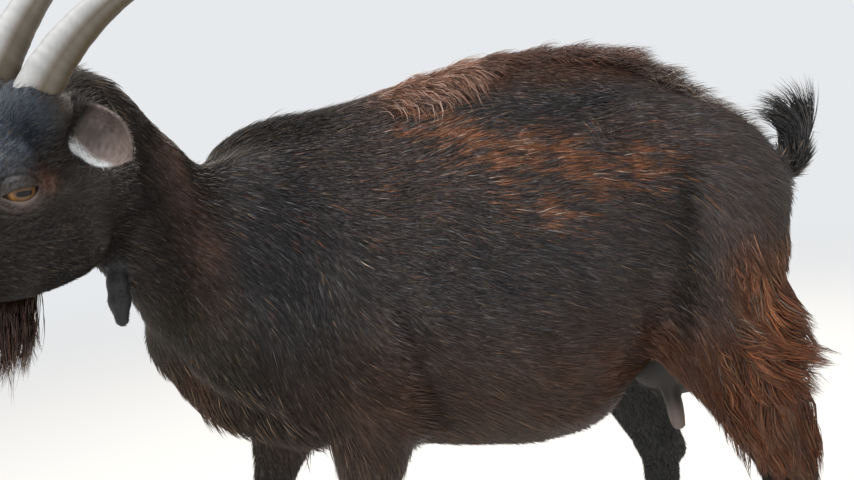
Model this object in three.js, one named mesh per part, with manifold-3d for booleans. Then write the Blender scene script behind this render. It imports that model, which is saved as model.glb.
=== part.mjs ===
// A life-size standing goat doe: horned, bearded, with a wattle, an upturned tail and long-haired thighs.
// Millimetres, +Z up, head towards -X, the goat's left side towards -Y, hooves on the plane z = 0.
// Flesh is a smooth union of tapered limbs and two lofts (trunk and head); it is sampled once per node and
// parted by thin plane cuts. Horns, eyes, ears, hooves, wattles and beard are lofts or lathes of their own.
import * as THREE from "three";
import { mergeVertices } from "three/addons/utils/BufferGeometryUtils.js";
import Module from "manifold-3d";

const wasm = await Module();
wasm.setup();

// ---------------------------------------------------------------- driving sizes
const GAP = 0.8; // clear width of every cut between two neighbouring nodes
const SOCKET = 0.4; // clearance round an eye, horn or hoof where it sits in flesh
const LEFT = -1; // the goat's left is -Y
const RIGHT = 1;

const vec = (x, y, z) => new THREE.Vector3(x, y, z);
const lerp = THREE.MathUtils.lerp;
const rad = THREE.MathUtils.degToRad;

// ---------------------------------------------------------------- shape functions
// Value at x of a smooth curve through the points (xs, ys), straight beyond neither end.
function curveAt(xs, ys, x) {
  const last = xs.length - 1;
  if (x <= xs[0]) return ys[0];
  if (x >= xs[last]) return ys[last];
  let i = 0;
  while (x > xs[i + 1]) i++;
  const slope = (k) => {
    const lo = Math.max(k - 1, 0);
    const hi = Math.min(k + 1, last);
    return (ys[hi] - ys[lo]) / (xs[hi] - xs[lo]);
  };
  const h = xs[i + 1] - xs[i];
  const t = (x - xs[i]) / h;
  const rise = 3 * t * t - 2 * t * t * t;
  return (
    lerp(ys[i], ys[i + 1], rise) +
    h * (slope(i) * t * (1 - t) * (1 - t) - slope(i + 1) * t * t * (1 - t))
  );
}

// A limb from a to b whose radius runs from ra to rb; flat is its thickness along side, as a share of its
// depth.
function limb(a, b, ra, rb, flat = 1, side = [0, 1, 0]) {
  const d = [b[0] - a[0], b[1] - a[1], b[2] - a[2]];
  const dd = d[0] * d[0] + d[1] * d[1] + d[2] * d[2] || 1;
  return (x, y, z) => {
    const p = [x - a[0], y - a[1], z - a[2]];
    const t = Math.min(1, Math.max(0, (p[0] * d[0] + p[1] * d[1] + p[2] * d[2]) / dd));
    const q = [p[0] - t * d[0], p[1] - t * d[1], p[2] - t * d[2]];
    const s = (q[0] * side[0] + q[1] * side[1] + q[2] * side[2]) * (1 / flat - 1);
    const plain = Math.hypot(q[0], q[1], q[2]);
    const wide = Math.hypot(q[0] + s * side[0], q[1] + s * side[1], q[2] + s * side[2]);
    return wide < 1e-6 ? -lerp(ra, rb, t) : plain - (lerp(ra, rb, t) * plain) / wide;
  };
}

// A loft along u: each station gives the top, bottom, half width and the height of the widest point.
function loft(stations, power) {
  const column = (k) => stations.map((s) => s[k]);
  const [us, tops, bottoms, halves, mids] = [0, 1, 2, 3, 4].map(column);
  return (u, w, v) => {
    const mid = curveAt(us, mids, u);
    const half = curveAt(us, halves, u);
    const reach = v > mid ? curveAt(us, tops, u) - mid : mid - curveAt(us, bottoms, u);
    const n = v > mid ? power[0] : power[1];
    const share = (Math.abs(w / half) ** n + Math.abs((v - mid) / reach) ** n) ** (1 / n);
    const flat = Math.hypot(w, v - mid);
    const across = share < 1e-6 ? -Math.min(half, reach) : flat * (1 - 1 / share);
    const past = Math.max(us[0] - u, u - us.at(-1), 0);
    return past > 0 ? Math.hypot(Math.max(across, 0), past) : across;
  };
}

// Smooth union: the blend reaches over a band k wide.
function blend(a, b, k) {
  const h = Math.max(k - Math.abs(a - b), 0) / k;
  return Math.min(a, b) - (h * h * k) / 4;
}

// ---------------------------------------------------------------- trunk
// Stations along X: x, top, bottom, half width, height of the widest point. The top carries the crest.
const TRUNK = [
  [-236, 470, 345, 44, 415],
  [-214, 526, 312, 68, 412],
  [-190, 566, 290, 84, 408],
  [-150, 583, 272, 96, 402],
  [-100, 589, 264, 105, 398],
  [-40, 598, 262, 124, 388],
  [30, 612, 256, 145, 382],
  [90, 624, 254, 153, 384],
  [150, 624, 270, 145, 394],
  [200, 611, 324, 122, 414],
  [245, 588, 350, 98, 434],
  [286, 550, 374, 80, 442],
  [315, 510, 402, 60, 446],
  [334, 466, 430, 30, 448],
];
const TRUNK_POWER = [1.85, 2.2];

// Muscle and bone that stand out from the trunk on both sides: a, b, ra, rb, flat, blend.
const SIDE_MASSES = [
  [[-158, 54, 518], [-184, 82, 398], 38, 44, 0.62, 40], // shoulder blade
  [[206, 64, 556], [252, 58, 530], 22, 24, 1, 40], // hook bone
  [[311, 36, 466], [298, 42, 440], 24, 26, 1, 30], // pin bone
];

// ---------------------------------------------------------------- legs
// Joint centres of each leg, from the body down; y is the distance from the mid plane.
const FORE = {
  left: { side: LEFT, shoulder: [-172, 84, 392], elbow: [-64, 84, 314], forearm: [-74, 78, 262],
    knee: [-82, 68, 170], fetlock: [-82, 65, 66], hoof: [-96, 64, 36] },
  right: { side: RIGHT, shoulder: [-196, 84, 398], elbow: [-136, 82, 312], forearm: [-168, 78, 258],
    knee: [-190, 68, 172], fetlock: [-190, 65, 66], hoof: [-204, 64, 36] },
};
const HIND = {
  left: { side: LEFT, hip: [258, 58, 476], pin: [288, 52, 440], stifle: [250, 80, 350],
    hock: [314, 68, 204], point: [330, 68, 214], fetlock: [312, 66, 66], hoof: [297, 65, 36],
    tendon: [330, 68, 300], tendonHair: 30 },
  right: { side: RIGHT, hip: [250, 58, 476], pin: [284, 52, 440], stifle: [168, 78, 330],
    hock: [218, 67, 194], point: [232, 67, 204], fetlock: [210, 66, 66], hoof: [195, 65, 36],
    tendon: [210, 67, 262], tendonHair: 16 },
};

const placed = (leg, name, lift = [0, 0, 0]) =>
  [leg[name][0] + lift[0], leg.side * leg[name][1] + lift[1], leg[name][2] + lift[2]];

function foreLeg(leg) {
  const at = (name, lift) => placed(leg, name, lift);
  return [
    [limb(at("shoulder"), at("elbow"), 46, 42, 0.7), 34], // upper arm
    [limb(at("elbow"), at("forearm"), 37, 30, 0.8), 26],
    [limb(at("forearm"), at("knee", [0, 0, 14]), 29, 19, 0.86), 16],
    [limb(at("knee", [-2, 0, 12]), at("knee", [-2, 0, -12]), 20.5, 19.5, 0.95), 10], // knee
    [limb(at("knee", [2, 0, -8]), at("fetlock"), 17.5, 15, 0.88), 8], // cannon
    [limb(at("fetlock", [2, 0, 3]), at("fetlock", [2, 0, -3]), 18.5, 18, 0.95), 8],
    [limb(at("fetlock"), at("hoof", [0, 0, -6]), 15, 18, 1.1), 8], // pastern
  ];
}

function hindLeg(leg) {
  const at = (name, lift) => placed(leg, name, lift);
  return [
    [limb(at("hip"), at("stifle"), 82, 50, 0.62), 44], // thigh
    [limb(at("pin", [-4, 0, 0]), at("hock", [-20, 0, 108]), 36, 28, 0.8), 34], // hamstrings
    [limb(at("stifle"), at("hock", [-10, 0, 30]), 48, 26, 0.72), 26], // gaskin
    [limb(at("tendon"), at("point"), leg.tendonHair, 17, 0.6), 20], // hair over the tendon
    [limb(at("hock", [-6, 0, 12]), at("hock", [-6, 0, -16]), 25, 24, 0.78), 14],
    [limb(at("hock", [-4, 0, -14]), at("fetlock"), 22, 15, 0.8), 10], // cannon
    [limb(at("fetlock", [2, 0, 3]), at("fetlock", [2, 0, -3]), 18.5, 18, 0.95), 8],
    [limb(at("fetlock"), at("hoof", [0, 0, -6]), 15, 18, 1.1), 8], // pastern
  ];
}

// The long hair that stands off behind the left thigh, and more closely behind the right one.
const BREECHES = [
  [limb([294, -74, 362], [329, -78, 320], 24, 26, 0.8), 18],
  [limb([328, -78, 324], [328, -76, 264], 27, 22, 0.8), 16],
  [limb([280, 66, 390], [254, 72, 304], 30, 22, 0.8), 20],
];

// ---------------------------------------------------------------- neck
const NECK = [
  [[-166, 0, 432], [-204, -24, 452], 104, 84, 0.74],
  [[-204, -24, 452], [-254, -90, 519], 84, 63, 0.72],
  [[-254, -90, 519], [-280, -142, 574], 63, 60, 0.72],
  [[-253, -84, 570], [-281, -146, 618], 20, 32, 0.8], // crest of the nape
  [[-203, 0, 354], [-243, -10, 384], 57, 39, 1], // brisket
];
const NECK_BLEND = 30;
// Sideways direction of the turned neck: level, and square to its run.
const NECK_SIDE = [0.82, -0.57, 0];

// ---------------------------------------------------------------- head
// Head frame: u runs from the back of the skull to the muzzle, v up, w to the goat's left.
const HEAD_ORIGIN = vec(-294, -180, 586);
const HEAD_YAW = rad(50); // turned to the left
const HEAD_PITCH = rad(22); // nose down
const HEAD_ROLL = rad(14); // left side down
const headFrame = (() => {
  const [cy, sy] = [Math.cos(HEAD_YAW), Math.sin(HEAD_YAW)];
  const [cp, sp] = [Math.cos(HEAD_PITCH), Math.sin(HEAD_PITCH)];
  const forward = vec(-cy * cp, -sy * cp, -sp);
  const up = vec(-cy * sp, -sy * sp, cp).applyAxisAngle(forward, -HEAD_ROLL);
  const left = new THREE.Vector3().crossVectors(up, forward);
  return new THREE.Matrix4().makeBasis(forward, left, up).setPosition(HEAD_ORIGIN);
})();
const headInverse = headFrame.clone().invert();

// Stations along u: u, top, bottom, half width, height of the widest point.
const HEAD = [
  [-34, 62, -72, 38, -8],
  [-4, 73, -94, 48, -10],
  [35, 73, -103, 54, -10],
  [70, 66, -97, 54, -4],
  [100, 58, -86, 49, 0],
  [132, 44, -70, 38, -6],
  [165, 33, -56, 31, -9],
  [197, 24, -45, 27, -11],
  [222, 18, -40, 27, -13],
  [240, 8, -34, 24, -14],
  [252, -7, -26, 13, -16],
];
const HEAD_POWER = [2.2, 2.1];
const HEAD_LENGTH = HEAD.at(-1)[0];
// Bone and muscle on both sides of the head: a, b, ra, rb, blend.
const HEAD_SIDES = [
  [[87, 34, 27], [93, 34, 25], 22, 21, 14], // orbit
  [[72, 34, 46], [104, 32, 42], 12, 8, 14], // brow
  [[44, 30, -56], [92, 27, -48], 28, 22, 20], // cheek
  [[62, 43, 8], [140, 28, -14], 10, 8, 14], // cheekbone
  [[44, 25, 78], [30, 30, 62], 21, 23, 12], // horn seat
  [[46, 19, 76], [76, 16, 52], 17, 14, 14], // rise of the forehead to it
  [[236, 13, 0], [240, 11, -2], 9, 8, 8], // nostril wing
];
const CHIN = [[214, 0, -38], [226, 0, -36], 15, 14];
const EYE = { centre: [90, 39.5, 27], radius: 15.5 };
const EYE_SLANT = 0.12; // how far the eye's axis leans up, as a share of its sideways run

const trunkLoft = loft(TRUNK, TRUNK_POWER);
const headLoft = loft(HEAD, HEAD_POWER);

function headField() {
  const parts = HEAD_SIDES.flatMap(([a, b, ra, rb, k]) =>
    [LEFT, RIGHT].map((s) => [limb([a[0], s * a[1], a[2]], [b[0], s * b[1], b[2]], ra, rb), k]),
  );
  parts.push([limb(...CHIN), 12]);
  return (u, w, v) => parts.reduce((d, [part, k]) => blend(d, part(u, w, v), k), headLoft(u, w, v));
}

// ---------------------------------------------------------------- the whole flesh
const headLocal = headField();
const neckParts = NECK.map(([a, b, ra, rb, flat]) => limb(a, b, ra, rb, flat, NECK_SIDE));
const bodyParts = [
  ...SIDE_MASSES.flatMap(([a, b, ra, rb, flat, k]) =>
    [LEFT, RIGHT].map((s) => [limb([a[0], s * a[1], a[2]], [b[0], s * b[1], b[2]], ra, rb, flat), k]),
  ),
  ...foreLeg(FORE.left),
  ...foreLeg(FORE.right),
  ...hindLeg(HIND.left),
  ...hindLeg(HIND.right),
  ...BREECHES,
];

function flesh(x, y, z) {
  const p = vec(x, y, z).applyMatrix4(headInverse);
  let d = trunkLoft(x, y, z);
  for (const part of neckParts) d = blend(d, part(x, y, z), NECK_BLEND);
  for (const [part, k] of bodyParts) d = blend(d, part(x, y, z), k);
  return blend(d, headLocal(p.x, p.y, p.z), 26);
}

// ---------------------------------------------------------------- from field to mesh
// Surface net of field over the box lo..hi in the frame of matrix; the box's own walls close it.
function sample(field, lo, hi, step, matrix = new THREE.Matrix4()) {
  const size = [0, 1, 2].map((k) => Math.ceil((hi[k] - lo[k]) / step[k]) + 1);
  const point = vec(0, 0, 0);
  const valueAt = (p) => {
    point.set(p[0], p[1], p[2]).applyMatrix4(matrix);
    return field(point.x, point.y, point.z);
  };
  const corner = (i, j, k) => [lo[0] + i * step[0], lo[1] + j * step[1], lo[2] + k * step[2]];
  const index = (i, j, k) => (k * size[1] + j) * size[0] + i;
  const values = new Float64Array(size[0] * size[1] * size[2]);
  for (let k = 0; k < size[2]; k++)
    for (let j = 0; j < size[1]; j++)
      for (let i = 0; i < size[0]; i++) {
        const wall = i * j * k === 0 || i === size[0] - 1 || j === size[1] - 1 || k === size[2] - 1;
        const value = valueAt(corner(i, j, k));
        values[index(i, j, k)] = wall ? Math.max(value, 1) : value;
      }

  const positions = [];
  const vertexOf = new Map();
  const EDGES = [];
  for (let c = 0; c < 8; c++)
    for (let axis = 0; axis < 3; axis++) if (!(c & (1 << axis))) EDGES.push([c, c | (1 << axis)]);
  const offset = (c) => [c & 1, (c >> 1) & 1, (c >> 2) & 1];
  for (let k = 0; k < size[2] - 1; k++)
    for (let j = 0; j < size[1] - 1; j++)
      for (let i = 0; i < size[0] - 1; i++) {
        const sum = [0, 0, 0];
        let count = 0;
        for (const [c0, c1] of EDGES) {
          const [a, b] = [offset(c0), offset(c1)];
          const va = values[index(i + a[0], j + a[1], k + a[2])];
          const vb = values[index(i + b[0], j + b[1], k + b[2])];
          if (va < 0 === vb < 0) continue;
          const t = va / (va - vb);
          for (let m = 0; m < 3; m++) sum[m] += lerp(a[m], b[m], t);
          count++;
        }
        if (!count) continue;
        const cell = [i, j, k];
        vertexOf.set(index(i, j, k), positions.length / 3);
        positions.push(...[0, 1, 2].map((m) => lo[m] + (cell[m] + sum[m] / count) * step[m]));
      }

  // Draw every vertex onto the true surface, at most half a cell away.
  const tiny = 0.5;
  for (let n = 0; n < positions.length; n += 3) {
    const start = positions.slice(n, n + 3);
    const p = [...start];
    for (let round = 0; round < 4; round++) {
      const value = valueAt(p);
      const g = [0, 1, 2].map((m) => {
        const q = [...p];
        q[m] += tiny;
        return (valueAt(q) - value) / tiny;
      });
      const gg = Math.max(g[0] ** 2 + g[1] ** 2 + g[2] ** 2, 0.05);
      for (let m = 0; m < 3; m++) {
        const limit = 0.45 * step[m];
        p[m] = start[m] + THREE.MathUtils.clamp(p[m] - (value * g[m]) / gg - start[m], -limit, limit);
      }
    }
    for (let m = 0; m < 3; m++) positions[n + m] = p[m];
  }

  const faces = [];
  const at = (n) => vec(positions[3 * n], positions[3 * n + 1], positions[3 * n + 2]);
  const quad = (a, b, c, d) => {
    if (at(a).distanceTo(at(c)) < at(b).distanceTo(at(d))) faces.push(a, b, c, a, c, d);
    else faces.push(b, c, d, b, d, a);
  };
  for (let k = 0; k < size[2] - 1; k++)
    for (let j = 0; j < size[1] - 1; j++)
      for (let i = 0; i < size[0] - 1; i++)
        for (let axis = 0; axis < 3; axis++) {
          const next = [i, j, k];
          next[axis]++;
          const inside = values[index(i, j, k)] < 0;
          if (inside === values[index(...next)] < 0) continue;
          const [p, q] = [(axis + 1) % 3, (axis + 2) % 3];
          const ring = [[0, 0], [1, 0], [1, 1], [0, 1]].map(([dp, dq]) => {
            const cell = [i, j, k];
            cell[p] -= dp;
            cell[q] -= dq;
            return vertexOf.get(index(...cell));
          });
          if (inside) quad(...ring);
          else quad(...ring.reverse());
        }
  const geometry = new THREE.BufferGeometry();
  geometry.setAttribute("position", new THREE.Float32BufferAttribute(positions, 3));
  geometry.setIndex(faces);
  return solid(geometry.applyMatrix4(matrix));
}

// ---------------------------------------------------------------- solids and cuts
function solid(geometry) {
  const bare = geometry.clone();
  for (const name of Object.keys(bare.attributes)) if (name !== "position") bare.deleteAttribute(name);
  const merged = mergeVertices(bare, 1e-3);
  return new wasm.Manifold(
    new wasm.Mesh({
      numProp: 3,
      vertProperties: new Float32Array(merged.attributes.position.array),
      triVerts: new Uint32Array(merged.index.array),
    }),
  );
}

function geometryOf(manifold) {
  const mesh = manifold.getMesh();
  const geometry = new THREE.BufferGeometry();
  geometry.setAttribute("position", new THREE.BufferAttribute(mesh.vertProperties, 3));
  geometry.setIndex(new THREE.BufferAttribute(mesh.triVerts, 1));
  return geometry;
}

// The same closed body with every edge shorter than `reach` drawn together to a point.
function weld(manifold, reach) {
  const geometry = geometryOf(manifold);
  const [p, faces] = [geometry.attributes.position, geometry.index.array];
  const points = Array.from({ length: p.count }, (_, i) => new THREE.Vector3().fromBufferAttribute(p, i));
  const joined = points.map((_, i) => i);
  const end = (i) => (joined[i] === i ? i : end(joined[i]));
  for (let f = 0; f < faces.length; f += 3)
    for (const [a, b] of [[0, 1], [1, 2], [2, 0]].map(([m, n]) => [end(faces[f + m]), end(faces[f + n])]))
      if (a !== b && points[a].distanceTo(points[b]) < reach) joined[Math.max(a, b)] = Math.min(a, b);
  const kept = [];
  for (let f = 0; f < faces.length; f += 3) {
    const [a, b, c] = [0, 1, 2].map((k) => end(faces[f + k]));
    if (a !== b && b !== c && c !== a) kept.push(a, b, c);
  }
  geometry.setIndex(kept);
  return solid(geometry);
}

// The largest connected body of a cut piece; crumbs left by a cut are dropped.
const largest = (manifold) =>
  manifold.decompose().reduce((best, body) => (body.volume() > best.volume() ? body : best));

const SPACE = 1600; // edge of a block that stands for half of space
// The half of space behind the plane through point, facing normal, drawn back by `back`.
function halfSpace(point, normal, back = GAP / 2) {
  const n = vec(...normal).normalize();
  const turn = new THREE.Quaternion().setFromUnitVectors(vec(0, 0, 1), n);
  const centre = vec(...point).addScaledVector(n, -back - SPACE / 2);
  const block = new THREE.BoxGeometry(SPACE, SPACE, SPACE);
  return solid(block.applyMatrix4(new THREE.Matrix4().compose(centre, turn, vec(1, 1, 1))));
}

const opposite = (normal) => normal.map((x) => -x);
const fromHead = (p) => vec(...p).applyMatrix4(headFrame).toArray();
const turnedFromHead = (d) => vec(...d).transformDirection(headFrame).toArray();

const CUTS = {
  head: { point: fromHead([-8, 0, 0]), normal: turnedFromHead([0.96, 0, 0.28]) }, // faces the muzzle
  neck: { point: [-206, -10, 470], normal: [-0.9, -0.3, 0.3] }, // faces the head
  tail: { point: [327, 0, 492], normal: [0.78, 0, 0.62] }, // faces the tail's tip
  foreTop: 292, // height of the level cut under the elbows
  hindTop: { point: [300, 0, 372], normal: [-0.34, 0, 0.94] }, // from flank fold to buttock
  hindFront: { point: [152, 0, 300], normal: [0.98, 0, 0.2] }, // in front of the thigh
};

// ---------------------------------------------------------------- lofted pieces
// A closed body through rings of points that all have the same count.
function ringBody(rings) {
  const count = rings[0].length;
  const points = rings.flat();
  const middle = (ring) => ring.reduce((sum, p) => sum.add(p), vec(0, 0, 0)).divideScalar(count);
  const faces = [];
  for (let r = 0; r < rings.length - 1; r++)
    for (let i = 0; i < count; i++) {
      const [a, b] = [r * count + i, r * count + ((i + 1) % count)];
      faces.push(a, b, b + count, a, b + count, a + count);
    }
  const [first, last] = [points.length, points.length + 1];
  const end = (rings.length - 1) * count;
  for (let i = 0; i < count; i++) {
    faces.push(first, (i + 1) % count, i);
    faces.push(last, end + i, end + ((i + 1) % count));
  }
  const all = [...points, middle(rings[0]), middle(rings.at(-1))];
  const geometry = new THREE.BufferGeometry();
  geometry.setAttribute("position", new THREE.Float32BufferAttribute(all.flatMap((p) => p.toArray()), 3));
  geometry.setIndex(faces);
  const made = solid(geometry);
  if (made.volume() > 0) return made;
  for (let i = 0; i < faces.length; i += 3) [faces[i + 1], faces[i + 2]] = [faces[i + 2], faces[i + 1]];
  geometry.setIndex(faces);
  return solid(geometry);
}

// Horn: a scimitar that rises from the forehead and sweeps back, oval in section with a keel in front.
const HORN = { root: [36, 25, 76], length: 250, start: 50, turn: 66, splay: 4, splayTurn: 14,
  depth: 21.5, width: 16.5, buried: 9, rings: 15, sides: 8 };
function horn(side, grow = 0) {
  const rings = [];
  const p = vec(HORN.root[0], side * HORN.root[1], HORN.root[2]);
  const step = HORN.length / HORN.rings;
  for (let i = 0; i <= HORN.rings; i++) {
    const t = i / HORN.rings;
    const back = rad(HORN.start + HORN.turn * t ** 1.05);
    const out = rad(HORN.splay + HORN.splayTurn * t);
    const along = vec(-Math.sin(back) * Math.cos(out), side * Math.sin(out), Math.cos(back) * Math.cos(out));
    const across = new THREE.Vector3().crossVectors(vec(0, 1, 0), along).normalize(); // towards the keel
    const outward = new THREE.Vector3().crossVectors(across, along).normalize();
    if (i === 0) p.addScaledVector(along, -HORN.buried - grow);
    const share = Math.max(1 - ((i * step) / HORN.length) ** 1.25, 0.06);
    const ridge = 1 + 0.022 * Math.cos(i * Math.PI); // shallow growth rings
    const ring = [];
    for (let k = 0; k < HORN.sides; k++) {
      const a = (2 * Math.PI * k) / HORN.sides;
      const keel = Math.cos(a) > 0 ? 1.12 : 0.92;
      const [c, s] = [Math.cos(a) * keel, Math.sin(a)];
      ring.push(p.clone()
        .addScaledVector(across, c * (HORN.depth * share * ridge + grow))
        .addScaledVector(outward, s * (HORN.width * share * ridge + grow)));
    }
    rings.push(ring.map((q) => q.applyMatrix4(headFrame)));
    p.addScaledVector(along, step);
  }
  return ringBody(rings);
}

// Ear: a broad cupped leaf, carried out and a little down, its hollow facing forwards.
const EAR = { root: [12, 37, 52], tip: [10, 89, 19], half: 22.5, cup: 9, thick: 4.2, rings: 7, across: 4,
  facing: [0.84, 0.24, 0.48] };
function ear(side, grow = 0) {
  const root = vec(EAR.root[0], side * EAR.root[1], EAR.root[2]);
  const tip = vec(EAR.tip[0], side * EAR.tip[1], EAR.tip[2]);
  const along = tip.clone().sub(root);
  const ahead = vec(EAR.facing[0], side * EAR.facing[1], EAR.facing[2]).projectOnPlane(along).normalize();
  const down = new THREE.Vector3().crossVectors(along, ahead).normalize().multiplyScalar(side);
  const rings = [];
  for (let i = 0; i <= EAR.rings; i++) {
    const t = i === 0 ? -0.14 - 0.08 * grow : lerp(-0.14, 1, i / EAR.rings);
    const open = Math.sin(Math.PI * Math.min(0.1 + 0.72 * Math.max(t, 0), 1)) ** 0.8;
    const round = Math.sqrt(Math.max(1 - Math.max((t - 0.55) / 0.46, 0) ** 2, 0.02));
    const half = EAR.half * open * round;
    const cup = EAR.cup * 1.2 * open * round * Math.min(Math.max(t, 0.04) / 0.45, 1.45 - t);
    const thick = EAR.thick * (1 + 1.6 * Math.max(0.4 - t, 0));
    const centre = root.clone().addScaledVector(along, t);
    const point = (s, front) => {
      const skin = (front ? 0.5 : -0.5) * (thick * (1 - 0.55 * s * s) + 2 * grow);
      return centre.clone()
        .addScaledVector(down, s * (half + grow))
        .addScaledVector(ahead, cup * s * s * 1.6 - cup + skin);
    };
    const ring = [];
    for (let k = 0; k <= EAR.across; k++) ring.push(point(-1 + (2 * k) / EAR.across, true));
    for (let k = EAR.across; k >= 0; k--) ring.push(point(-1 + (2 * k) / EAR.across, false));
    rings.push(ring.map((q) => q.applyMatrix4(headFrame)));
  }
  return ringBody(rings);
}

function eye(side, grow = 0) {
  const ball = new THREE.SphereGeometry(EYE.radius + grow, 12, 8);
  const [u, w, v] = EYE.centre;
  const place = new THREE.Matrix4().makeTranslation(u, side * w, v);
  return solid(ball.applyMatrix4(place).applyMatrix4(headFrame));
}
// The opening between the lids: a shallow oval cone in front of the eyeball.
function lidOpening(side) {
  const cone = new THREE.CylinderGeometry(24, 10, 22, 10).rotateX(side * Math.PI / 2 - side * EYE_SLANT);
  cone.scale(1.25, 1, 0.8);
  const [u, w, v] = EYE.centre;
  const out = new THREE.Matrix4().makeTranslation(u, side * (w + 18), v + 1);
  return solid(cone.applyMatrix4(out).applyMatrix4(headFrame));
}

// Wattle: a drop of skin that hangs from the left of the throat.
const WATTLE = { root: [-2, 15, -122], length: 50, buried: 14, radius: 9 };
function wattle(grow = 0) {
  const profile = [];
  for (let i = 0; i <= 6; i++) {
    const t = i / 6;
    const [below, above] = [2 * Math.max(t - 0.42, 0), Math.min(t / 0.42, 1)]; // widest at 0.42 of t
    const swell = Math.sqrt(Math.max(1 - below ** 2 / 1.35, 0)) * (0.62 + 0.38 * above);
    const radius = i === 0 || i === 6 ? 0 : WATTLE.radius * swell + grow;
    profile.push(new THREE.Vector2(radius, WATTLE.buried - (WATTLE.length + WATTLE.buried) * t));
  }
  const drop = new THREE.LatheGeometry(profile.reverse(), 8).rotateX(Math.PI / 2);
  const root = fromHead(WATTLE.root);
  return solid(drop.applyMatrix4(new THREE.Matrix4().makeTranslation(...root)));
}

// Beard: a thin curtain of hair along the underside of the jaw, from the chin to under the cheek, that hangs
// straight down.
const BEARD = { front: [222, 0, -38], back: [60, 0, -94], drop: 76, rise: 16, half: 12,
  rings: 4, sides: 10 };
function beard(grow = 0) {
  const front = vec(...fromHead(BEARD.front));
  const along = vec(...fromHead(BEARD.back)).sub(front);
  const across = new THREE.Vector3().crossVectors(along, vec(0, 0, 1)).normalize();
  const rings = [];
  for (let i = 0; i <= BEARD.rings; i++) {
    const t = i / BEARD.rings;
    const [long, wide] = [1 - 0.08 * t - 0.3 * t ** 4, 1 - 0.8 * t];
    const ring = [];
    for (let k = 0; k < BEARD.sides; k++) {
      const a = (2 * Math.PI * k) / BEARD.sides;
      ring.push(front.clone()
        .addScaledVector(along, 0.5 + (0.5 * long + grow / along.length()) * Math.cos(a))
        .addScaledVector(across, (BEARD.half * wide + grow) * Math.sin(a))
        .add(vec(0, 0, BEARD.rise + grow - (BEARD.drop + BEARD.rise + 2 * grow) * t)));
    }
    rings.push(ring);
  }
  return ringBody(rings);
}

// Hoof: two claws side by side, each with a flat sole and a pointed toe.
const CLAW = { length: 50, width: 19.5, height: 33, split: 2.4, toeOut: 0.08 };
function claw(leg, inner) {
  const half = CLAW.width / 2;
  const outline = (share, back) => {
    const ring = [];
    const count = 9;
    for (let k = 0; k < count; k++) {
      const a = (2 * Math.PI * (k + 0.5)) / count;
      const toe = Math.cos(a) < 0 ? 1 - 0.3 * Math.cos(a) ** 2 : 1; // narrower towards the toe
      ring.push([Math.cos(a) * share * (CLAW.length / 2) + back, Math.sin(a) * share * half * toe]);
    }
    return ring;
  };
  const side = leg.side * (inner ? -1 : 1);
  const [x, y] = [leg.hoof[0], leg.side * leg.hoof[1] + side * (half + CLAW.split / 2)];
  const levels = [[0, 1, -4], [8, 1, -2], [22, 0.9, 3], [CLAW.height, 0.78, 7]];
  return ringBody(levels.map(([z, share, back]) =>
    outline(share, back).map(([px, py]) => vec(x + px, y + py + side * CLAW.toeOut * -px * 0.4, z))));
}

// Tail: a short dock that leans back, then turns up into a brush of hair that curls forwards.
const TAIL = {
  spine: [[316, 0, 472], [340, 0, 481], [359, -2, 499], [369, -4, 521], [361, -5, 543], [330, -5, 556]],
  depth: [20, 17, 19, 21, 23, 7], width: [18, 17, 14, 16, 16, 6], sides: 10, rings: 9,
};
function tail() {
  const spine = new THREE.CatmullRomCurve3(TAIL.spine.map((p) => vec(...p)));
  const knots = TAIL.depth.map((_, i) => i / (TAIL.depth.length - 1));
  const rings = [];
  for (let i = 0; i <= TAIL.rings; i++) {
    const t = i / TAIL.rings;
    const centre = spine.getPoint(t);
    const along = spine.getTangent(t);
    const across = vec(0, 1, 0);
    const deep = new THREE.Vector3().crossVectors(across, along).normalize();
    const [depth, width] = [curveAt(knots, TAIL.depth, t), curveAt(knots, TAIL.width, t)];
    const ring = [];
    for (let k = 0; k < TAIL.sides; k++) {
      const a = (2 * Math.PI * k) / TAIL.sides;
      ring.push(centre.clone()
        .addScaledVector(deep, depth * Math.cos(a))
        .addScaledVector(across, width * Math.sin(a)));
    }
    rings.push(ring);
  }
  return ringBody(rings);
}

// Udder with its two teats, between the thighs.
const UDDER = {
  centre: [236, 0, 322], radii: [50, 44, 44],
  teats: [{ root: [220, 24, 294], tip: [227, 33, 256] }, { root: [214, -24, 296], tip: [225, -34, 253] }],
  teatRadii: [13, 11, 8.5, 8.5, 5],
};
function udder(grow = 0) {
  const [rx, ry, rz] = UDDER.radii.map((r) => r + grow);
  const ball = new THREE.SphereGeometry(1, 14, 9).rotateX(Math.PI / 2).scale(rx, ry, rz);
  const bag = solid(ball.translate(...UDDER.centre));
  return UDDER.teats.reduce((all, { root, tip }) => {
    const [from, to] = [vec(...root), vec(...tip)];
    const axis = to.clone().sub(from).normalize();
    const turn = new THREE.Quaternion().setFromUnitVectors(vec(0, 0, -1), axis);
    const rings = UDDER.teatRadii.map((radius, i, radii) => Array.from({ length: 7 }, (_, k) => {
      const a = (2 * Math.PI * k) / 7;
      const out = vec(Math.cos(a), Math.sin(a), 0).multiplyScalar(radius + grow).applyQuaternion(turn);
      return from.clone().lerp(to, i / (radii.length - 1)).addScaledVector(axis, i ? grow : -16).add(out);
    }));
    return all.add(ringBody(rings));
  }, bag);
}

// ---------------------------------------------------------------- nodes
const COAT = { color: 0x2a1c16, roughness: 0.62, metalness: 0 };
const RED_COAT = { color: 0x4a2416, roughness: 0.66, metalness: 0 };
const HORNY = { color: 0xa9a294, roughness: 0.55, metalness: 0 };
const BARE = { color: 0x5a4a4a, roughness: 0.6, metalness: 0 };
const HOOF = { color: 0x2c2622, roughness: 0.5, metalness: 0 };
const AMBER = { color: 0x9c6a24, roughness: 0.1, metalness: 0 };

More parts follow.
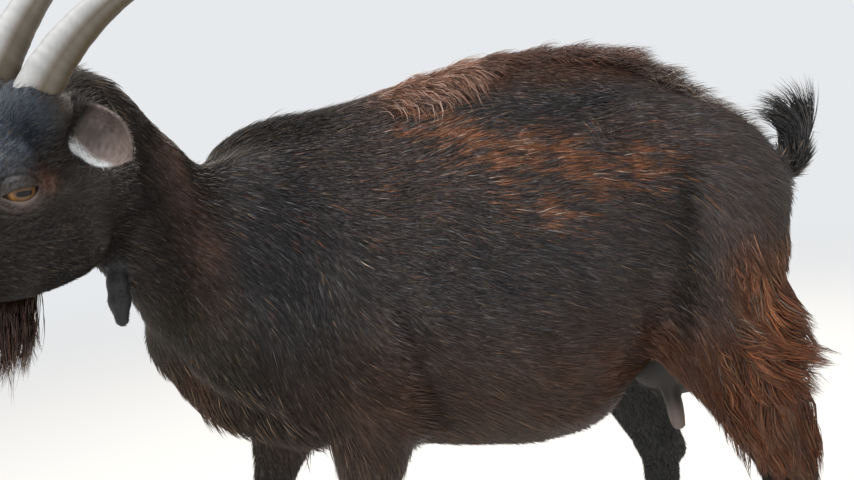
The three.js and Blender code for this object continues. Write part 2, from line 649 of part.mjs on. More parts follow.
const goat = new THREE.Group();
goat.name = "goat";
function add(name, manifold, look) {
  const body = weld(largest(manifold), 0.25);
  const mesh = new THREE.Mesh(geometryOf(body), new THREE.MeshStandardMaterial(look));
  mesh.name = name;
  goat.add(mesh);
}

const within = (body, ...halves) => halves.reduce((rest, half) => rest.intersect(half), body);
const without = (body, ...others) => others.reduce((rest, other) => rest.subtract(other), body);
// The half of space that a cut's normal points to, and the other half.
const ahead = ({ point, normal }) => halfSpace(point, opposite(normal));
const behind = ({ point, normal }) => halfSpace(point, normal);

const sides = { left: LEFT, right: RIGHT };
const tailBody = tail();
const horns = Object.values(sides).map((s) => horn(-s));
const hornPockets = Object.values(sides).map((s) => horn(-s, SOCKET));

function addHead() {
  const whole = sample(flesh, [-44, -92, -124], [HEAD_LENGTH + 14, 92, 104], [17, 15, 15], headFrame);
  const sockets = [1, -1].flatMap((s) => [eye(s, SOCKET), lidOpening(s), ear(s, 2.5 * SOCKET)]);
  sockets.push(beard(SOCKET), wattle(SOCKET));
  add("head", without(within(whole, ahead(CUTS.head)), ...sockets, ...hornPockets), COAT);
}

function addNeck() {
  const whole = sample(flesh, [-400, -280, 262], [-150, 150, 700], [28, 27, 28]);
  const between = within(whole, behind(CUTS.head), ahead(CUTS.neck));
  add("neck", without(between, ...hornPockets, wattle(SOCKET)), COAT);
}

// The wedge of space that holds a hind leg: below the top cut and behind the front cut.
const hindWedge = (grow) =>
  halfSpace(CUTS.hindTop.point, CUTS.hindTop.normal, -grow)
    .intersect(halfSpace(CUTS.hindFront.point, opposite(CUTS.hindFront.normal), -grow));
// The block that holds one foreleg below the elbow, clear of the keel of the chest and of the belly.
const foreBlock = (leg, grow) => {
  const [front, back] = [leg.knee[0] - 62 - grow, leg.elbow[0] + 46 + grow];
  const [inner, outer] = [24 - grow, 150];
  const block = new THREE.BoxGeometry(back - front, outer - inner, 300);
  block.translate((front + back) / 2, (leg.side * (inner + outer)) / 2, CUTS.foreTop - 150 + grow);
  return solid(block);
};

function addTrunk() {
  const whole = sample(flesh, [-290, -190, 214], [400, 191, 680], [41, 36, 36]);
  const dock = tailBody.intersect(halfSpace(CUTS.tail.point, opposite(CUTS.tail.normal), -GAP / 2));
  add("trunk", without(within(whole, behind(CUTS.neck)), foreBlock(FORE.left, GAP / 2),
    foreBlock(FORE.right, GAP / 2), hindWedge(GAP / 2), udder(2 * SOCKET), dock), COAT);
}

function addLegs() {
  for (const [name, side] of Object.entries(sides)) {
    const [fore, hind] = [FORE[name], HIND[name]];
    const halfway = halfSpace([0, side * 1, 0], [0, -side, 0], 0); // this side of the mid plane
    const knee = { point: placed(fore, "knee", [0, 0, 16]), normal: [0, 0, 1] };
    const hock = { point: placed(hind, "hock", [0, 0, 34]), normal: [-0.3, 0, 0.95] };
    const span = (leg, lo, hi, low, high) => {
      const ys = [side * 14, side * 128].sort((a, b) => a - b);
      return [[lo, ys[0], low], [hi, ys[1], high]];
    };
    const hooves = (leg, prefix) => {
      add(prefix + "_claw_inner_" + name, claw(leg, true), HOOF);
      add(prefix + "_claw_outer_" + name, claw(leg, false), HOOF);
    };

    const [fx, hx] = [fore.knee[0], hind.hock[0]];
    const foreBox = span(fore, fx - 90, fore.elbow[0] + 70, 150, 330);
    add("foreleg_upper_" + name, within(sample(flesh, ...foreBox, [15, 15, 22]), foreBlock(fore, -GAP / 2),
      ahead(knee)), COAT);
    const shinBox = span(fore, fx - 52, fx + 44, 20, 210);
    const shin = within(sample(flesh, ...shinBox, [11, 11, 25]), behind(knee), aboveClaws);
    add("foreleg_lower_" + name, shin, COAT);
    hooves(fore, "fore");

    const thighBox = [[140, Math.min(0, side * 150), 190], [430, Math.max(0, side * 150), 470]];
    const thighWhole = sample(flesh, ...thighBox, [26, 25, 27]);
    add("hindleg_upper_" + name, without(within(thighWhole, hindWedge(-GAP / 2), halfway, ahead(hock)),
      udder(2 * SOCKET)), RED_COAT);
    const cannonBox = span(hind, hx - 56, hx + 58, 20, 270);
    const cannon = within(sample(flesh, ...cannonBox, [11, 11, 25]), behind(hock), aboveClaws);
    add("hindleg_lower_" + name, cannon, COAT);
    hooves(hind, "hind");
  }
}
// Everything above the top of the claws.
const aboveClaws = halfSpace([0, 0, CLAW.height + SOCKET], [0, 0, -1], 0);

function addSmallParts() {
  [1, -1].forEach((s, i) => {
    const name = i === 0 ? "left" : "right";
    add("horn_" + name, horn(s), HORNY);
    add("eye_" + name, eye(s), AMBER);
    add("ear_" + name, ear(s), COAT);
  });
  add("tail", within(tailBody, ahead(CUTS.tail)), COAT);
  add("udder", udder(), BARE);
  add("wattle", wattle(), BARE);
  add("beard", beard(), RED_COAT);
}

addHead();
addNeck();
addTrunk();
addLegs();
addSmallParts();

// The origin is under the middle of the whole model, on the floor.
const extent = new THREE.Box3().setFromObject(goat);
const middle = extent.getCenter(vec(0, 0, 0));
goat.position.set(-middle.x, -middle.y, -extent.min.z);

export default goat;
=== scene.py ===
import math

import bmesh
import bpy
import numpy as np
from mathutils import Matrix, Vector


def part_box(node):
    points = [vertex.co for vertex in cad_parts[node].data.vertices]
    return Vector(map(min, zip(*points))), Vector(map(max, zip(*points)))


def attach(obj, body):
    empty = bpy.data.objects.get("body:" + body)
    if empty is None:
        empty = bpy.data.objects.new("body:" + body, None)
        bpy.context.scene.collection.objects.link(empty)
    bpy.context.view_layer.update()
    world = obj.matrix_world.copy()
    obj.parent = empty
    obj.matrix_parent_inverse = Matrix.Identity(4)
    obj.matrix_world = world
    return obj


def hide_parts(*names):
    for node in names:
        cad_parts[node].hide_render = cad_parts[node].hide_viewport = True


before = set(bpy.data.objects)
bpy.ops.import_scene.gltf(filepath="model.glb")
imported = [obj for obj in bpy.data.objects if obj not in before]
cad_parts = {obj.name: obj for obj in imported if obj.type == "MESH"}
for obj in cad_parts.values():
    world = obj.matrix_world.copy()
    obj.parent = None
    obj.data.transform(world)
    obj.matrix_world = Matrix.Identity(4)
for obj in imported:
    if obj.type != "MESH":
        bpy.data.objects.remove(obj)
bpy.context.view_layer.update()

# A life-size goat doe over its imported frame: one skin, a coat of solid tufts, eyes, horns and claws.
# Sizes are millimetres in the goat's own axes: X towards the tail, left side at -Y, floor at z = 0.
# Flesh is a smooth union of tapered limbs and lofts, the same forms as the frame's solids less the coat.

MM = 0.001
LEFT, RIGHT = SIDES = -1, 1
COAT_SHARE = 1.0


def vec(*values):
    return np.array(values, np.float32)


def unit(v):
    return v / np.maximum(np.linalg.norm(v, axis=-1, keepdims=True), 1e-9)


# ---- placing the goat in the frame
EYE_CENTRE, EYE_RADIUS = vec(90, 39.5, 27), 15.5  # in the head's axes
HEAD_ORIGIN = vec(-294, -180, 586)
HEAD_YAW, HEAD_PITCH, HEAD_ROLL = math.radians(50), math.radians(22), math.radians(14)


def head_axes():
    """Rows: forward to the muzzle, the goat's left, up, in the goat's axes."""
    cy, sy, cp, sp = math.cos(HEAD_YAW), math.sin(HEAD_YAW), math.cos(HEAD_PITCH), math.sin(HEAD_PITCH)
    forward = Vector((-cy * cp, -sy * cp, -sp))
    up = Matrix.Rotation(-HEAD_ROLL, 3, forward) @ Vector((-cy * sp, -sy * sp, cp))
    return np.array([forward, up.cross(forward), up], np.float32)


HEAD_AXES = head_axes()


def to_head(points):
    return (points - HEAD_ORIGIN) @ HEAD_AXES.T


def from_head(points):
    return np.asarray(points, np.float32) @ HEAD_AXES + HEAD_ORIGIN


def frame_origin():
    """Where the goat's own origin lies in the row frame, from the left eyeball's solid."""
    lo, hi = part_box("eye_left")
    return (np.array(lo) + np.array(hi)) / 2 - from_head(EYE_CENTRE) * MM


ORIGIN = frame_origin()


def placed(points):
    return points * MM + ORIGIN


# ---- shape functions
def curve(xs, ys):
    """A smooth curve through the points (xs, ys), level beyond its ends."""
    xs, ys = np.array(xs, float), np.array(ys, float)
    lo, hi = np.maximum(np.arange(len(xs)) - 1, 0), np.minimum(np.arange(len(xs)) + 1, len(xs) - 1)
    slopes = (ys[hi] - ys[lo]) / (xs[hi] - xs[lo])

    def at(x):
        x = np.clip(x, xs[0], xs[-1])
        i = np.clip(np.searchsorted(xs, x) - 1, 0, len(xs) - 2)
        h = xs[i + 1] - xs[i]
        t = (x - xs[i]) / h
        rise = t * t * (3 - 2 * t)
        bend = slopes[i] * t * (1 - t) ** 2 - slopes[i + 1] * t * t * (1 - t)
        return (ys[i] + (ys[i + 1] - ys[i]) * rise + h * bend).astype(np.float32)

    return at


def folded(points):
    """The points with both sides of the goat laid on one."""
    points = points.copy()
    points[:, 1] = np.abs(points[:, 1])
    return points


def limb(a, b, ra, rb, flat=1.0, side=(0, 1, 0)):
    """A tapered limb from a to b: field, centre, reach. flat is its thickness along side over its depth."""
    a, b, side = vec(*a), vec(*b), vec(*side)
    d = b - a
    dd = max(float(d @ d), 1e-6)

    def field(p):
        q = p - a
        t = np.clip(q @ d / dd, 0, 1)
        q = q - t[:, None] * d
        radius = ra + (rb - ra) * t
        plain = np.linalg.norm(q, axis=1)
        if flat == 1:
            return plain - radius
        wide = np.linalg.norm(q + ((q @ side) * (1 / flat - 1))[:, None] * side, axis=1)
        return plain - radius * plain / np.maximum(wide, 1e-3)

    return field, (a + b) / 2, math.sqrt(dd) / 2 + max(ra, rb)


def loft(stations, power):
    """A loft along u of stations: u, top, bottom, half width, height of the widest point."""
    columns = list(zip(*stations))
    us = columns[0]
    top, bottom, half, mid = (curve(us, column) for column in columns[1:])

    def field(p):
        u, w, v = p[:, 0], p[:, 1], p[:, 2]
        m, hw = mid(u), half(u)
        above = v > m
        reach = np.where(above, top(u) - m, m - bottom(u))
        n = np.where(above, power[0], power[1]).astype(np.float32)
        share = (np.abs(w / hw) ** n + np.abs((v - m) / reach) ** n) ** (1 / n)
        across = np.hypot(w, v - m) * (1 - 1 / np.maximum(share, 1e-3))
        past = np.maximum(us[0] - u, u - us[-1])
        return np.where(past > 0, np.hypot(np.maximum(across, 0), past), np.maximum(across, past))

    return field


def join(a, b, k):
    """Smooth union over a band k wide."""
    h = np.maximum(k - np.abs(a - b), 0) / k
    return np.minimum(a, b) - h * h * k / 4


def carve(a, b, k):
    """a less b, with the edge rounded over a band k wide."""
    return -join(-a, b, k)


NEAR = 26  # how far from the surface a field still has to be true


def join_near(d, points, field, centre, reach, k):
    """Joins field to d over a band k wide, reading it only within reach of centre."""
    near = ((points - centre) ** 2).sum(1) < reach**2
    if near.any():
        d[near] = join(d[near], field(points[near]), k)
    return d


def join_all(d, points, parts):
    """Joins each (limb, k) to d."""
    for (field, centre, reach), k in parts:
        d = join_near(d, points, field, centre, reach + k + NEAR, k)
    return d


def on_both_sides(rows):
    """The limbs of rows that name one side: ends, radii, flatness where it isn't round, width of the join."""
    return [(limb((a[0], s * a[1], a[2]), (b[0], s * b[1], b[2]), *sizes), k)
            for a, b, *sizes, k in rows for s in SIDES]


def bump(points, centre, radii):
    """A soft hill of height 1 at centre that dies out over the radii."""
    q = (points - vec(*centre)) / vec(*radii)
    return np.exp(-(q * q).sum(1))


def ridge(points, a, b, width):
    """A soft ridge of height 1 along the line from a to b."""
    field, _, _ = limb(a, b, 0, 0)
    return np.exp(-((field(points) / width) ** 2))


def waves(points, size, seed, count=7):
    """Smooth noise of about -1 to 1 whose lumps are about size across."""
    rng = np.random.default_rng(seed)
    directions = unit(rng.normal(size=(count, 3))) * rng.uniform(0.6, 1.6, (count, 1)) * 2 * math.pi / size
    phases = rng.uniform(0, 2 * math.pi, count)
    return np.sin(points @ directions.T.astype(np.float32) + phases).sum(1) / math.sqrt(count) * 0.8


def between(x, lo, hi):
    """0 below lo, 1 above hi, smooth between; lo may be the larger."""
    t = np.clip((x - lo) / (hi - lo), 0, 1)
    return t * t * (3 - 2 * t)


# ---- trunk
CREST = curve([-236, -150, -40, 90, 200, 286, 334], [0, -1, 0, 4, 4, 4, 3])  # height of the crest's hair
# x, top of the back with its crest of hair, bottom, half width, height of the widest point
TRUNK = [
    (-236, 470, 345, 44, 415), (-214, 526, 312, 68, 412), (-190, 566, 290, 84, 408),
    (-150, 583, 272, 96, 402), (-100, 589, 264, 105, 398), (-40, 598, 262, 124, 388),
    (30, 612, 256, 145, 382), (90, 624, 254, 153, 384), (150, 624, 270, 145, 394),
    (200, 611, 324, 122, 414), (245, 588, 350, 98, 434), (286, 550, 374, 80, 442),
    (315, 510, 402, 60, 446), (334, 466, 430, 30, 448),
]
trunk_loft = loft([(x, top - float(CREST(x)), *rest) for x, top, *rest in TRUNK], (1.85, 2.2))
SIDE_MASSES = [  # ends, radii, flatness, join
    ((-158, 54, 518), (-184, 82, 398), 38, 44, 0.62, 40),  # shoulder blade
    ((206, 64, 552), (252, 58, 526), 22, 24, 1, 40),  # hook bone
    ((311, 36, 466), (298, 42, 440), 24, 26, 1, 30),  # pin bone
]

# ---- legs: joint centres, y from the mid plane
FORE = {
    LEFT: dict(shoulder=(-172, 84, 392), elbow=(-64, 84, 314), forearm=(-74, 78, 262),
               knee=(-82, 68, 170), fetlock=(-82, 65, 66), hoof=(-96, 64, 36)),
    RIGHT: dict(shoulder=(-196, 84, 398), elbow=(-136, 82, 312), forearm=(-168, 78, 258),
                knee=(-190, 68, 172), fetlock=(-190, 65, 66), hoof=(-204, 64, 36)),
}
HIND = {
    LEFT: dict(hip=(258, 58, 476), pin=(288, 52, 440), stifle=(250, 80, 350), hock=(314, 68, 204),
               tendon=(326, 68, 296), point=(330, 68, 214), fetlock=(312, 66, 66), hoof=(297, 65, 36)),
    RIGHT: dict(hip=(250, 58, 476), pin=(284, 52, 440), stifle=(168, 78, 330), hock=(218, 67, 194),
                tendon=(206, 67, 262), point=(232, 67, 204), fetlock=(210, 66, 66), hoof=(195, 65, 36)),
}
# joint, its shift in x and z, next joint, its shift, radii, flatness, join
PASTERN = [
    ("fetlock", 2, 3, "fetlock", 2, -3, 18.5, 18, 0.95, 8),
    ("fetlock", 13, -4, "fetlock", 15, -10, 8, 6.5, 1.5, 8),  # pad of the dewclaws
    ("fetlock", 0, 0, "hoof", 0, -6, 15, 18, 1.1, 8),
]
FORE_LIMBS = [
    ("shoulder", 0, 0, "elbow", 0, 0, 46, 42, 0.7, 34),  # upper arm
    ("elbow", 0, 0, "forearm", 0, 0, 37, 30, 0.8, 26),
    ("forearm", 0, 0, "knee", 0, 14, 29, 19, 0.86, 16),
    ("knee", -2, 12, "knee", -2, -12, 20.5, 19.5, 0.95, 10),
    ("knee", 9, 4, "knee", 10, -4, 10, 9, 1, 8),  # bone behind the knee
    ("knee", -2, -8, "fetlock", -2, 0, 13.5, 12, 1, 8),  # cannon bone
    ("knee", 8, -14, "fetlock", 9, 6, 8, 8, 1, 6),  # tendons behind it
    *PASTERN,
]
HIND_LIMBS = [
    ("hip", 0, 0, "stifle", 0, 0, 82, 50, 0.62, 44),  # thigh
    ("pin", -4, 0, "hock", -20, 108, 36, 28, 0.8, 34),  # hamstrings
    ("stifle", 0, 0, "hock", -10, 30, 48, 25, 0.72, 26),  # gaskin
    ("tendon", 0, 0, "point", 0, 0, 15, 12, 0.62, 14),  # tendon to the point of the hock
    ("hock", -4, 12, "hock", -6, -16, 22, 18, 0.8, 14),
    ("hock", -6, -14, "fetlock", -2, 0, 14, 12, 1, 10),  # cannon bone
    ("hock", 8, -12, "fetlock", 9, 6, 9, 8, 1, 6),  # tendons behind it
    *PASTERN,
]


def leg_parts(leg, side, rows):
    """The limbs of one leg."""
    parts = []
    for a, ax, az, b, bx, bz, ra, rb, flat, k in rows:
        (x0, y0, z0), (x1, y1, z1) = leg[a], leg[b]
        parts.append((limb((x0 + ax, side * y0, z0 + az), (x1 + bx, side * y1, z1 + bz), ra, rb, flat), k))
    return parts


# ---- neck, udder, wattle, dock of the tail
NECK_SIDE = (0.82, -0.57, 0)  # sideways of the turned neck
NECK = [  # ends, radii, flatness
    ((-166, 0, 432), (-204, -24, 452), 104, 84, 0.74),
    ((-204, -24, 452), (-254, -90, 519), 84, 63, 0.72),
    ((-254, -90, 519), (-280, -142, 574), 63, 60, 0.72),
    ((-253, -84, 568), (-281, -146, 616), 20, 31, 0.8),  # ridge of the nape
    ((-203, 0, 354), (-243, -10, 384), 57, 39, 1),  # brisket
]
UDDER_CENTRE, UDDER_RADII = vec(229, 0, 321), vec(52, 43, 42)
TEATS = [((220, 24, 294), (226, 32, 262)), ((217, -26, 292), (221, -34, 259))]
WATTLE_ROOT, WATTLE_LENGTH = (-2, 15, -122), 50  # root in the head's axes; it hangs straight down
DOCK = [((316, 0, 470), (338, 0, 478), 14, 12), ((338, 0, 478), (356, -2, 494), 12, 10),
        ((356, -2, 494), (366, -4, 516), 10, 6)]

# ---- head, in its own axes: u forward, w left, v up
HEAD = [
    (-34, 62, -72, 38, -8), (-4, 73, -94, 48, -10), (35, 73, -103, 54, -10), (70, 66, -97, 54, -4),
    (100, 58, -86, 49, 0), (132, 44, -70, 38, -6), (165, 33, -56, 31, -9), (197, 24, -45, 27, -11),
    (222, 18, -40, 27, -13), (240, 8, -34, 24, -14), (252, -7, -26, 13, -16),
]
head_loft = loft(HEAD, (2.2, 2.1))
HEAD_DEPTH = 3  # how far the skin of the head lies inside its forms
HORN_ROOT, HORN_CLEAR = vec(36, 25, 76), 15.5  # the hair keeps this far from the horn's axis
HEAD_SIDES = [  # ends, radii, join
    ((87, 34, 27), (93, 34, 25), 22, 21, 14),  # orbit
    ((72, 34, 46), (104, 32, 42), 12, 8, 14),  # brow
    ((44, 30, -56), (92, 27, -48), 28, 22, 20),  # cheek
    ((62, 43, 8), (140, 28, -14), 10, 8, 14),  # cheekbone
    ((44, 25, 78), (30, 30, 62), 20, 22, 12),  # horn seat
    ((46, 19, 76), (76, 16, 52), 16, 13, 14),  # rise of the forehead to it
    ((236, 13, 0), (240, 11, -2), 9, 8, 8),  # nostril wing
    ((214, 10, -24), (238, 7, -25), 9, 7, 8),  # upper lip
]
head_parts = on_both_sides(HEAD_SIDES) + [
    (limb((204, 0, -34), (224, 0, -34), 15, 14), 14),  # chin
    (limb((238, 0, -12), (242, 0, -15), 14, 12), 10),  # nose pad
]

EAR = dict(root=(12, 37, 52), tip=(10, 89, 19), half=22.5, cup=10.8, thick=4.2, facing=(0.84, 0.24, 0.48))
EYE_AXIS = unit(vec(0.3, 1, 0.1))  # where the left eye looks, in the head's axes
EYE_LONG = unit(np.cross(vec(0, 0, 1), EYE_AXIS)) * -1  # along the lids, towards the muzzle
LID_SLANT = -0.2  # how far the front corner of the eye drops
EYE_OPEN = dict(half=15.5, up=5.2, down=6.4)
LID_THICKNESS = 1.6


def ear_axes(side):
    root, tip = vec(*EAR["root"]), vec(*EAR["tip"])
    ahead = vec(*EAR["facing"])
    for axis in (root, tip, ahead):
        axis[1] *= side
    along = unit(tip - root)
    ahead = unit(ahead - (ahead @ along) * along)
    return root, along, unit(np.cross(along, ahead)) * side, ahead, float(np.linalg.norm(tip - root))


def ear_places(q, side):
    """Shares of the ear's length and half width, and height off its sheet, for points in the head's axes."""
    root, along, down, ahead, length = ear_axes(side)
    d = q - root
    t = d @ along / length
    opened = np.maximum(np.sin(math.pi * np.minimum(0.1 + 0.72 * np.maximum(t, 0), 1)), 0.02) ** 0.8
    rounded = np.sqrt(np.maximum(1 - np.maximum((t - 0.55) / 0.46, 0) ** 2, 0.02))
    half = EAR["half"] * opened * rounded
    cup = EAR["cup"] * opened * rounded * np.minimum(np.maximum(t, 0.04) / 0.45, 1.45 - t)
    s = d @ down / half
    inside = np.clip(s, -1, 1)
    off = d @ ahead - (1.6 * cup * inside**2 - cup)
    slope = 3.2 * cup * inside / half
    return t, s, off / np.sqrt(1 + slope**2), half, length


def on_ear(t, across, off, low, high, wide, thick):
    """True for places on the ear between two shares of its length."""
    return (t > low) & (t < high) & (np.abs(across) < wide) & (np.abs(off) < thick)


def ear_field(q, side):
    t, s, off, half, length = ear_places(q, side)
    thick = EAR["thick"] * (1 + 1.6 * np.maximum(0.4 - t, 0)) * (1 - 0.22 * np.minimum(s * s, 1))
    veins = 0.35 * np.cos(np.clip(s, -1, 1) * 9) * between(t, 0.05, 0.3) * between(t, 0.95, 0.6) * (off > 0)
    beyond = np.maximum(np.abs(s) - 1, 0) * half
    ends = np.maximum(np.maximum(t - 1, -0.14 - t), 0) * length
    return np.sqrt(off**2 + beyond**2 + ends**2) - thick / 2 - veins


def eye_places(q, side):
    """Distance from the eye's centre, places along and across the lids, and outwards, in the head's axes."""
    d = q * vec(1, side, 1) - EYE_CENTRE
    out, along = d @ EYE_AXIS, d @ EYE_LONG
    up = d @ np.cross(EYE_AXIS, EYE_LONG).astype(np.float32) * -1
    return np.linalg.norm(d, axis=1), along, up + LID_SLANT * along, out


def lid_gap(along, up):
    """Distance outside the almond between the lids, in millimetres, negative within it."""
    share = np.clip(1 - (along / EYE_OPEN["half"]) ** 2, 0, 1)
    reach = np.where(up > 0, EYE_OPEN["up"], EYE_OPEN["down"]) * share**0.8
    beyond = np.maximum(np.abs(along) - EYE_OPEN["half"], 0)
    return np.where(beyond > 0, np.hypot(beyond, up), np.abs(up) - reach)


def add_eye(d, q, side):
    """Lids drawn over the eyeball, with folds around them."""
    r, along, up, out = eye_places(q, side)
    near = (r < 44) & (out > -4)
    if not near.any():
        return d
    r, along, up, out = r[near], along[near], up[near], out[near]
    gap = lid_gap(along, up)
    lid = r - (EYE_RADIUS + LID_THICKNESS + 1.5 * np.exp(-((gap / 3) ** 2)))  # thicker at its edge
    part = join(d[near], lid, 5)
    around = np.hypot(along * 0.75, up)
    folds = np.sin((around - 8) * 0.95) * np.exp(-(((around - 17) / 8) ** 2)) * between(up, 3, -6)
    crease = np.exp(-(((around - 14.5) / 1.6) ** 2)) * between(up, 1, 6)
    part = part - 0.75 * folds + 1.3 * crease
    opening = np.maximum(np.maximum(gap, 4 - out), EYE_RADIUS - 1.4 - r)
    d[near] = carve(part, opening, 1.6)
    return d


def add_nose(d, q):
    """Nostrils, the groove of the lip and the line of the mouth."""
    near = q[:, 0] > 168
    if not near.any():
        return d
    p = folded(q[near])
    u, w, v = p.T
    nostril = limb((249, 9.5, -8), (238, 21, 3), 3.4, 2.2)[0](p)
    part = d[near] - 1.8 * np.exp(-((nostril - 3.6) / 2.2) ** 2) * between(u, 224, 236)
    part = carve(part, nostril, 2)
    mouth = -24 - 3.2 * between(u, 246, 200) + 1.2 * np.sin(u * 0.06)
    off = v - mouth
    along = between(u, 182, 196)
    part = part + 3.2 * np.exp(-((off / 1.7) ** 2)) * along - 0.9 * np.exp(-(((off + 4) / 3) ** 2)) * along
    split = np.exp(-((w / 1.3) ** 2)) * between(u, 240, 247) * between(v, -2, -10) * (off > 0)
    d[near] = part + 1.8 * split
    return d


def head_field(points):
    """The bare head with its ears, lids and muzzle, in the goat's axes."""
    q = to_head(points)
    d = join_all(head_loft(q), q, head_parts) + HEAD_DEPTH
    for side in SIDES:
        d = join_near(d, q, lambda p: ear_field(p, side), vec(11, side * 63, 36), 75, 7)
        d = add_eye(d, q, side)
    return add_nose(d, q)


# ---- the whole skin
body_parts = on_both_sides(SIDE_MASSES)
for side_ in SIDES:
    body_parts += leg_parts(FORE[side_], side_, FORE_LIMBS) + leg_parts(HIND[side_], side_, HIND_LIMBS)
neck_parts = [(limb(*part, NECK_SIDE), 30) for part in NECK]
teat_parts = [(limb(root, tip, 9, 7.5), 5) for root, tip in TEATS]
dock_parts = [(limb(*part), 8) for part in DOCK]
wattle_top = from_head([WATTLE_ROOT])[0]
WATTLE = [(-12, 6), (10, 8.4), (26, 9), (WATTLE_LENGTH - 7, 6)]  # distance below its root, radius
wattle_parts = [(limb(wattle_top - vec(0, 0, a), wattle_top - vec(0, 0, b), ra, rb), 6)
                for (a, ra), (b, rb) in zip(WATTLE, WATTLE[1:])]


def wattle_distance(points):
    return np.min([field(points) for (field, _, _), _ in wattle_parts], 0)


GROOVES = [  # a, b, width, depth
    ((-34, -122, 402), (-6, -104, 300), 9, 5),  # between elbow and ribs
    ((-94, 118, 396), (-84, 104, 304), 9, 5),
    ((-196, -72, 486), (-168, -96, 424), 10, 4),  # between neck and shoulder
    ((178, -118, 352), (206, -100, 396), 12, 4),  # fold of the flank
    ((150, 118, 352), (186, 100, 392), 12, 4),
]


COAT_DEPTH = 7.5  # on the body
LEGS_LESS, NECK_LESS, BACK_LESS = 4.3, 2.0, 2.5  # how much less it is there


def depth(points):
    """How far the skin lies inside the outer shape of the coat."""
    x, z = points[:, 0], points[:, 2]
    legs = between(z, 330, 250)
    back = between(z, 535, 575) * between(x, 260, 200)
    return COAT_DEPTH - LEGS_LESS * legs - NECK_LESS * between(x, -150, -260) * (1 - legs) - BACK_LESS * back


def body_field(points):
    d = join_all(trunk_loft(points), points, neck_parts + body_parts)
    for s in SIDES:
        d = d + 7 * bump(points, (146, s * 96, 566), (46, 40, 24))  # hollow of the flank
    for a, b, width, deep in GROOVES:
        d = d + deep * ridge(points, a, b, width)
    return d + depth(points)


def udder_field(points):
    r = np.linalg.norm((points - UDDER_CENTRE) / UDDER_RADII, axis=1)
    cleft = 3 * np.exp(-((points[:, 1] / 5) ** 2))  # between the two halves
    return (r - 1) * float(UDDER_RADII.mean()) + cleft


HEAD_MIDDLE = from_head([(110, 0, -10)])


def skin_field(points):
    """Signed distance to the skin, about true near it, negative inside."""
    d = join_near(body_field(points), points, head_field, HEAD_MIDDLE, 235, 24)
    d = join_near(d, points, udder_field, UDDER_CENTRE, 95, 6)
    return join_all(d, points, teat_parts + dock_parts + wattle_parts)


def in_chunks(function, points, size=60000):
    return np.concatenate([function(points[i:i + size]) for i in range(0, len(points), size)])


def slope_of(field, points, values, step=0.4):
    """The field's gradient by small steps."""
    columns = []
    for axis in range(3):
        moved = points.copy()
        moved[:, axis] += step
        columns.append((in_chunks(field, moved) - values) / step)
    return np.stack(columns, 1)


def settle(field, points, limit, rounds=3):
    """Draws points onto the field's surface, at most limit away from where they start."""
    start = points.copy()
    for _ in range(rounds):
        values = in_chunks(field, points)
        g = slope_of(field, points, values)
        gg = np.maximum((g * g).sum(1), 0.05)
        points = start + np.clip(points - (values / gg)[:, None] * g - start, -limit, limit)
    return points.astype(np.float32)


# ---- from field to mesh
def graded(lo, hi, fine_lo, fine_hi, fine, step=6.5):
    """Grid lines from lo to hi, closer together between fine_lo and fine_hi."""
    spans = [(lo, fine_lo, step), (fine_lo, fine_hi, fine), (fine_hi, hi, step)]
    lines = [np.linspace(a, b, max(int(round((b - a) / s)), 1) + 1)[:-1] for a, b, s in spans if b > a]
    return np.append(np.concatenate(lines), hi).astype(np.float32)


def surface_net(field, lines, block=4):
    """Vertices, quads and cell sizes of the surface net of field over the grid lines."""
    shape = tuple(len(line) for line in lines)
    coarse = [line[np.minimum(np.arange(0, len(line), block) + block // 2, len(line) - 1)] for line in lines]
    rough = in_chunks(field, np.stack(np.meshgrid(*coarse, indexing="ij"), -1).reshape(-1, 3))
    rough = rough.reshape([len(line) for line in coarse])
    for axis in range(3):
        rough = np.repeat(rough, block, axis)
    rough = rough[:shape[0], :shape[1], :shape[2]]
    reach = [np.gradient(line) * block * 0.6 for line in lines]
    far = np.sqrt(reach[0][:, None, None] ** 2 + reach[1][:, None] ** 2 + reach[2] ** 2) + 5
    live = np.abs(rough) < far * 2.2
    values = np.where(rough < 0, -50, 50).astype(np.float32)
    values[live] = in_chunks(field, np.stack([line[i] for line, i in zip(lines, np.nonzero(live))], 1))

    inside = values < 0
    corners = list(np.ndindex(2, 2, 2))
    count = sum(inside[tuple(slice(c, n - 1 + c) for c, n in zip(corner, shape))].astype(np.int8)
                for corner in corners)
    mixed = (count > 0) & (count < 8)
    cells = np.nonzero(mixed)
    ids = np.full(mixed.shape, -1, np.int32)
    ids[mixed] = np.arange(len(cells[0]))
    total, crossings = np.zeros((len(cells[0]), 3), np.float32), np.zeros(len(cells[0]), np.float32)
    for a in corners:
        for axis in range(3):
            if a[axis]:
                continue
            b = tuple(v + (n == axis) for n, v in enumerate(a))
            va, vb = (values[tuple(c + o for c, o in zip(cells, corner))] for corner in (a, b))
            crossed = (va < 0) != (vb < 0)
            t = np.where(crossed, va / np.where(crossed, va - vb, 1), 0)
            for n in range(3):
                total[:, n] += np.where(crossed, a[n] + (t if n == axis else 0), 0)
            crossings += crossed
    start = np.stack([line[c] for line, c in zip(lines, cells)], 1)
    size = np.stack([line[c + 1] for line, c in zip(lines, cells)], 1) - start
    points = start + total / crossings[:, None] * size
    quads = []
    for axis in range(3):
        p, q = (axis + 1) % 3, (axis + 2) % 3
        low = [slice(1, n - 1) for n in shape]
        low[axis] = slice(0, shape[axis] - 1)
        high = list(low)
        high[axis] = slice(1, shape[axis])
        first, second = inside[tuple(low)], inside[tuple(high)]
        place = np.stack(np.nonzero(first != second), 1) + [0 if n == axis else 1 for n in range(3)]
        outward = inside[tuple(place.T)]
        ring = []
        for dp, dq in ((0, 0), (1, 0), (1, 1), (0, 1)):
            beside = place.copy()
            beside[:, p] -= dp
            beside[:, q] -= dq
            ring.append(ids[tuple(beside.T)])
        ring = np.stack(ring, 1)
        quads.append(np.where(outward[:, None], ring, ring[:, ::-1]))
    return points, np.concatenate(quads), size


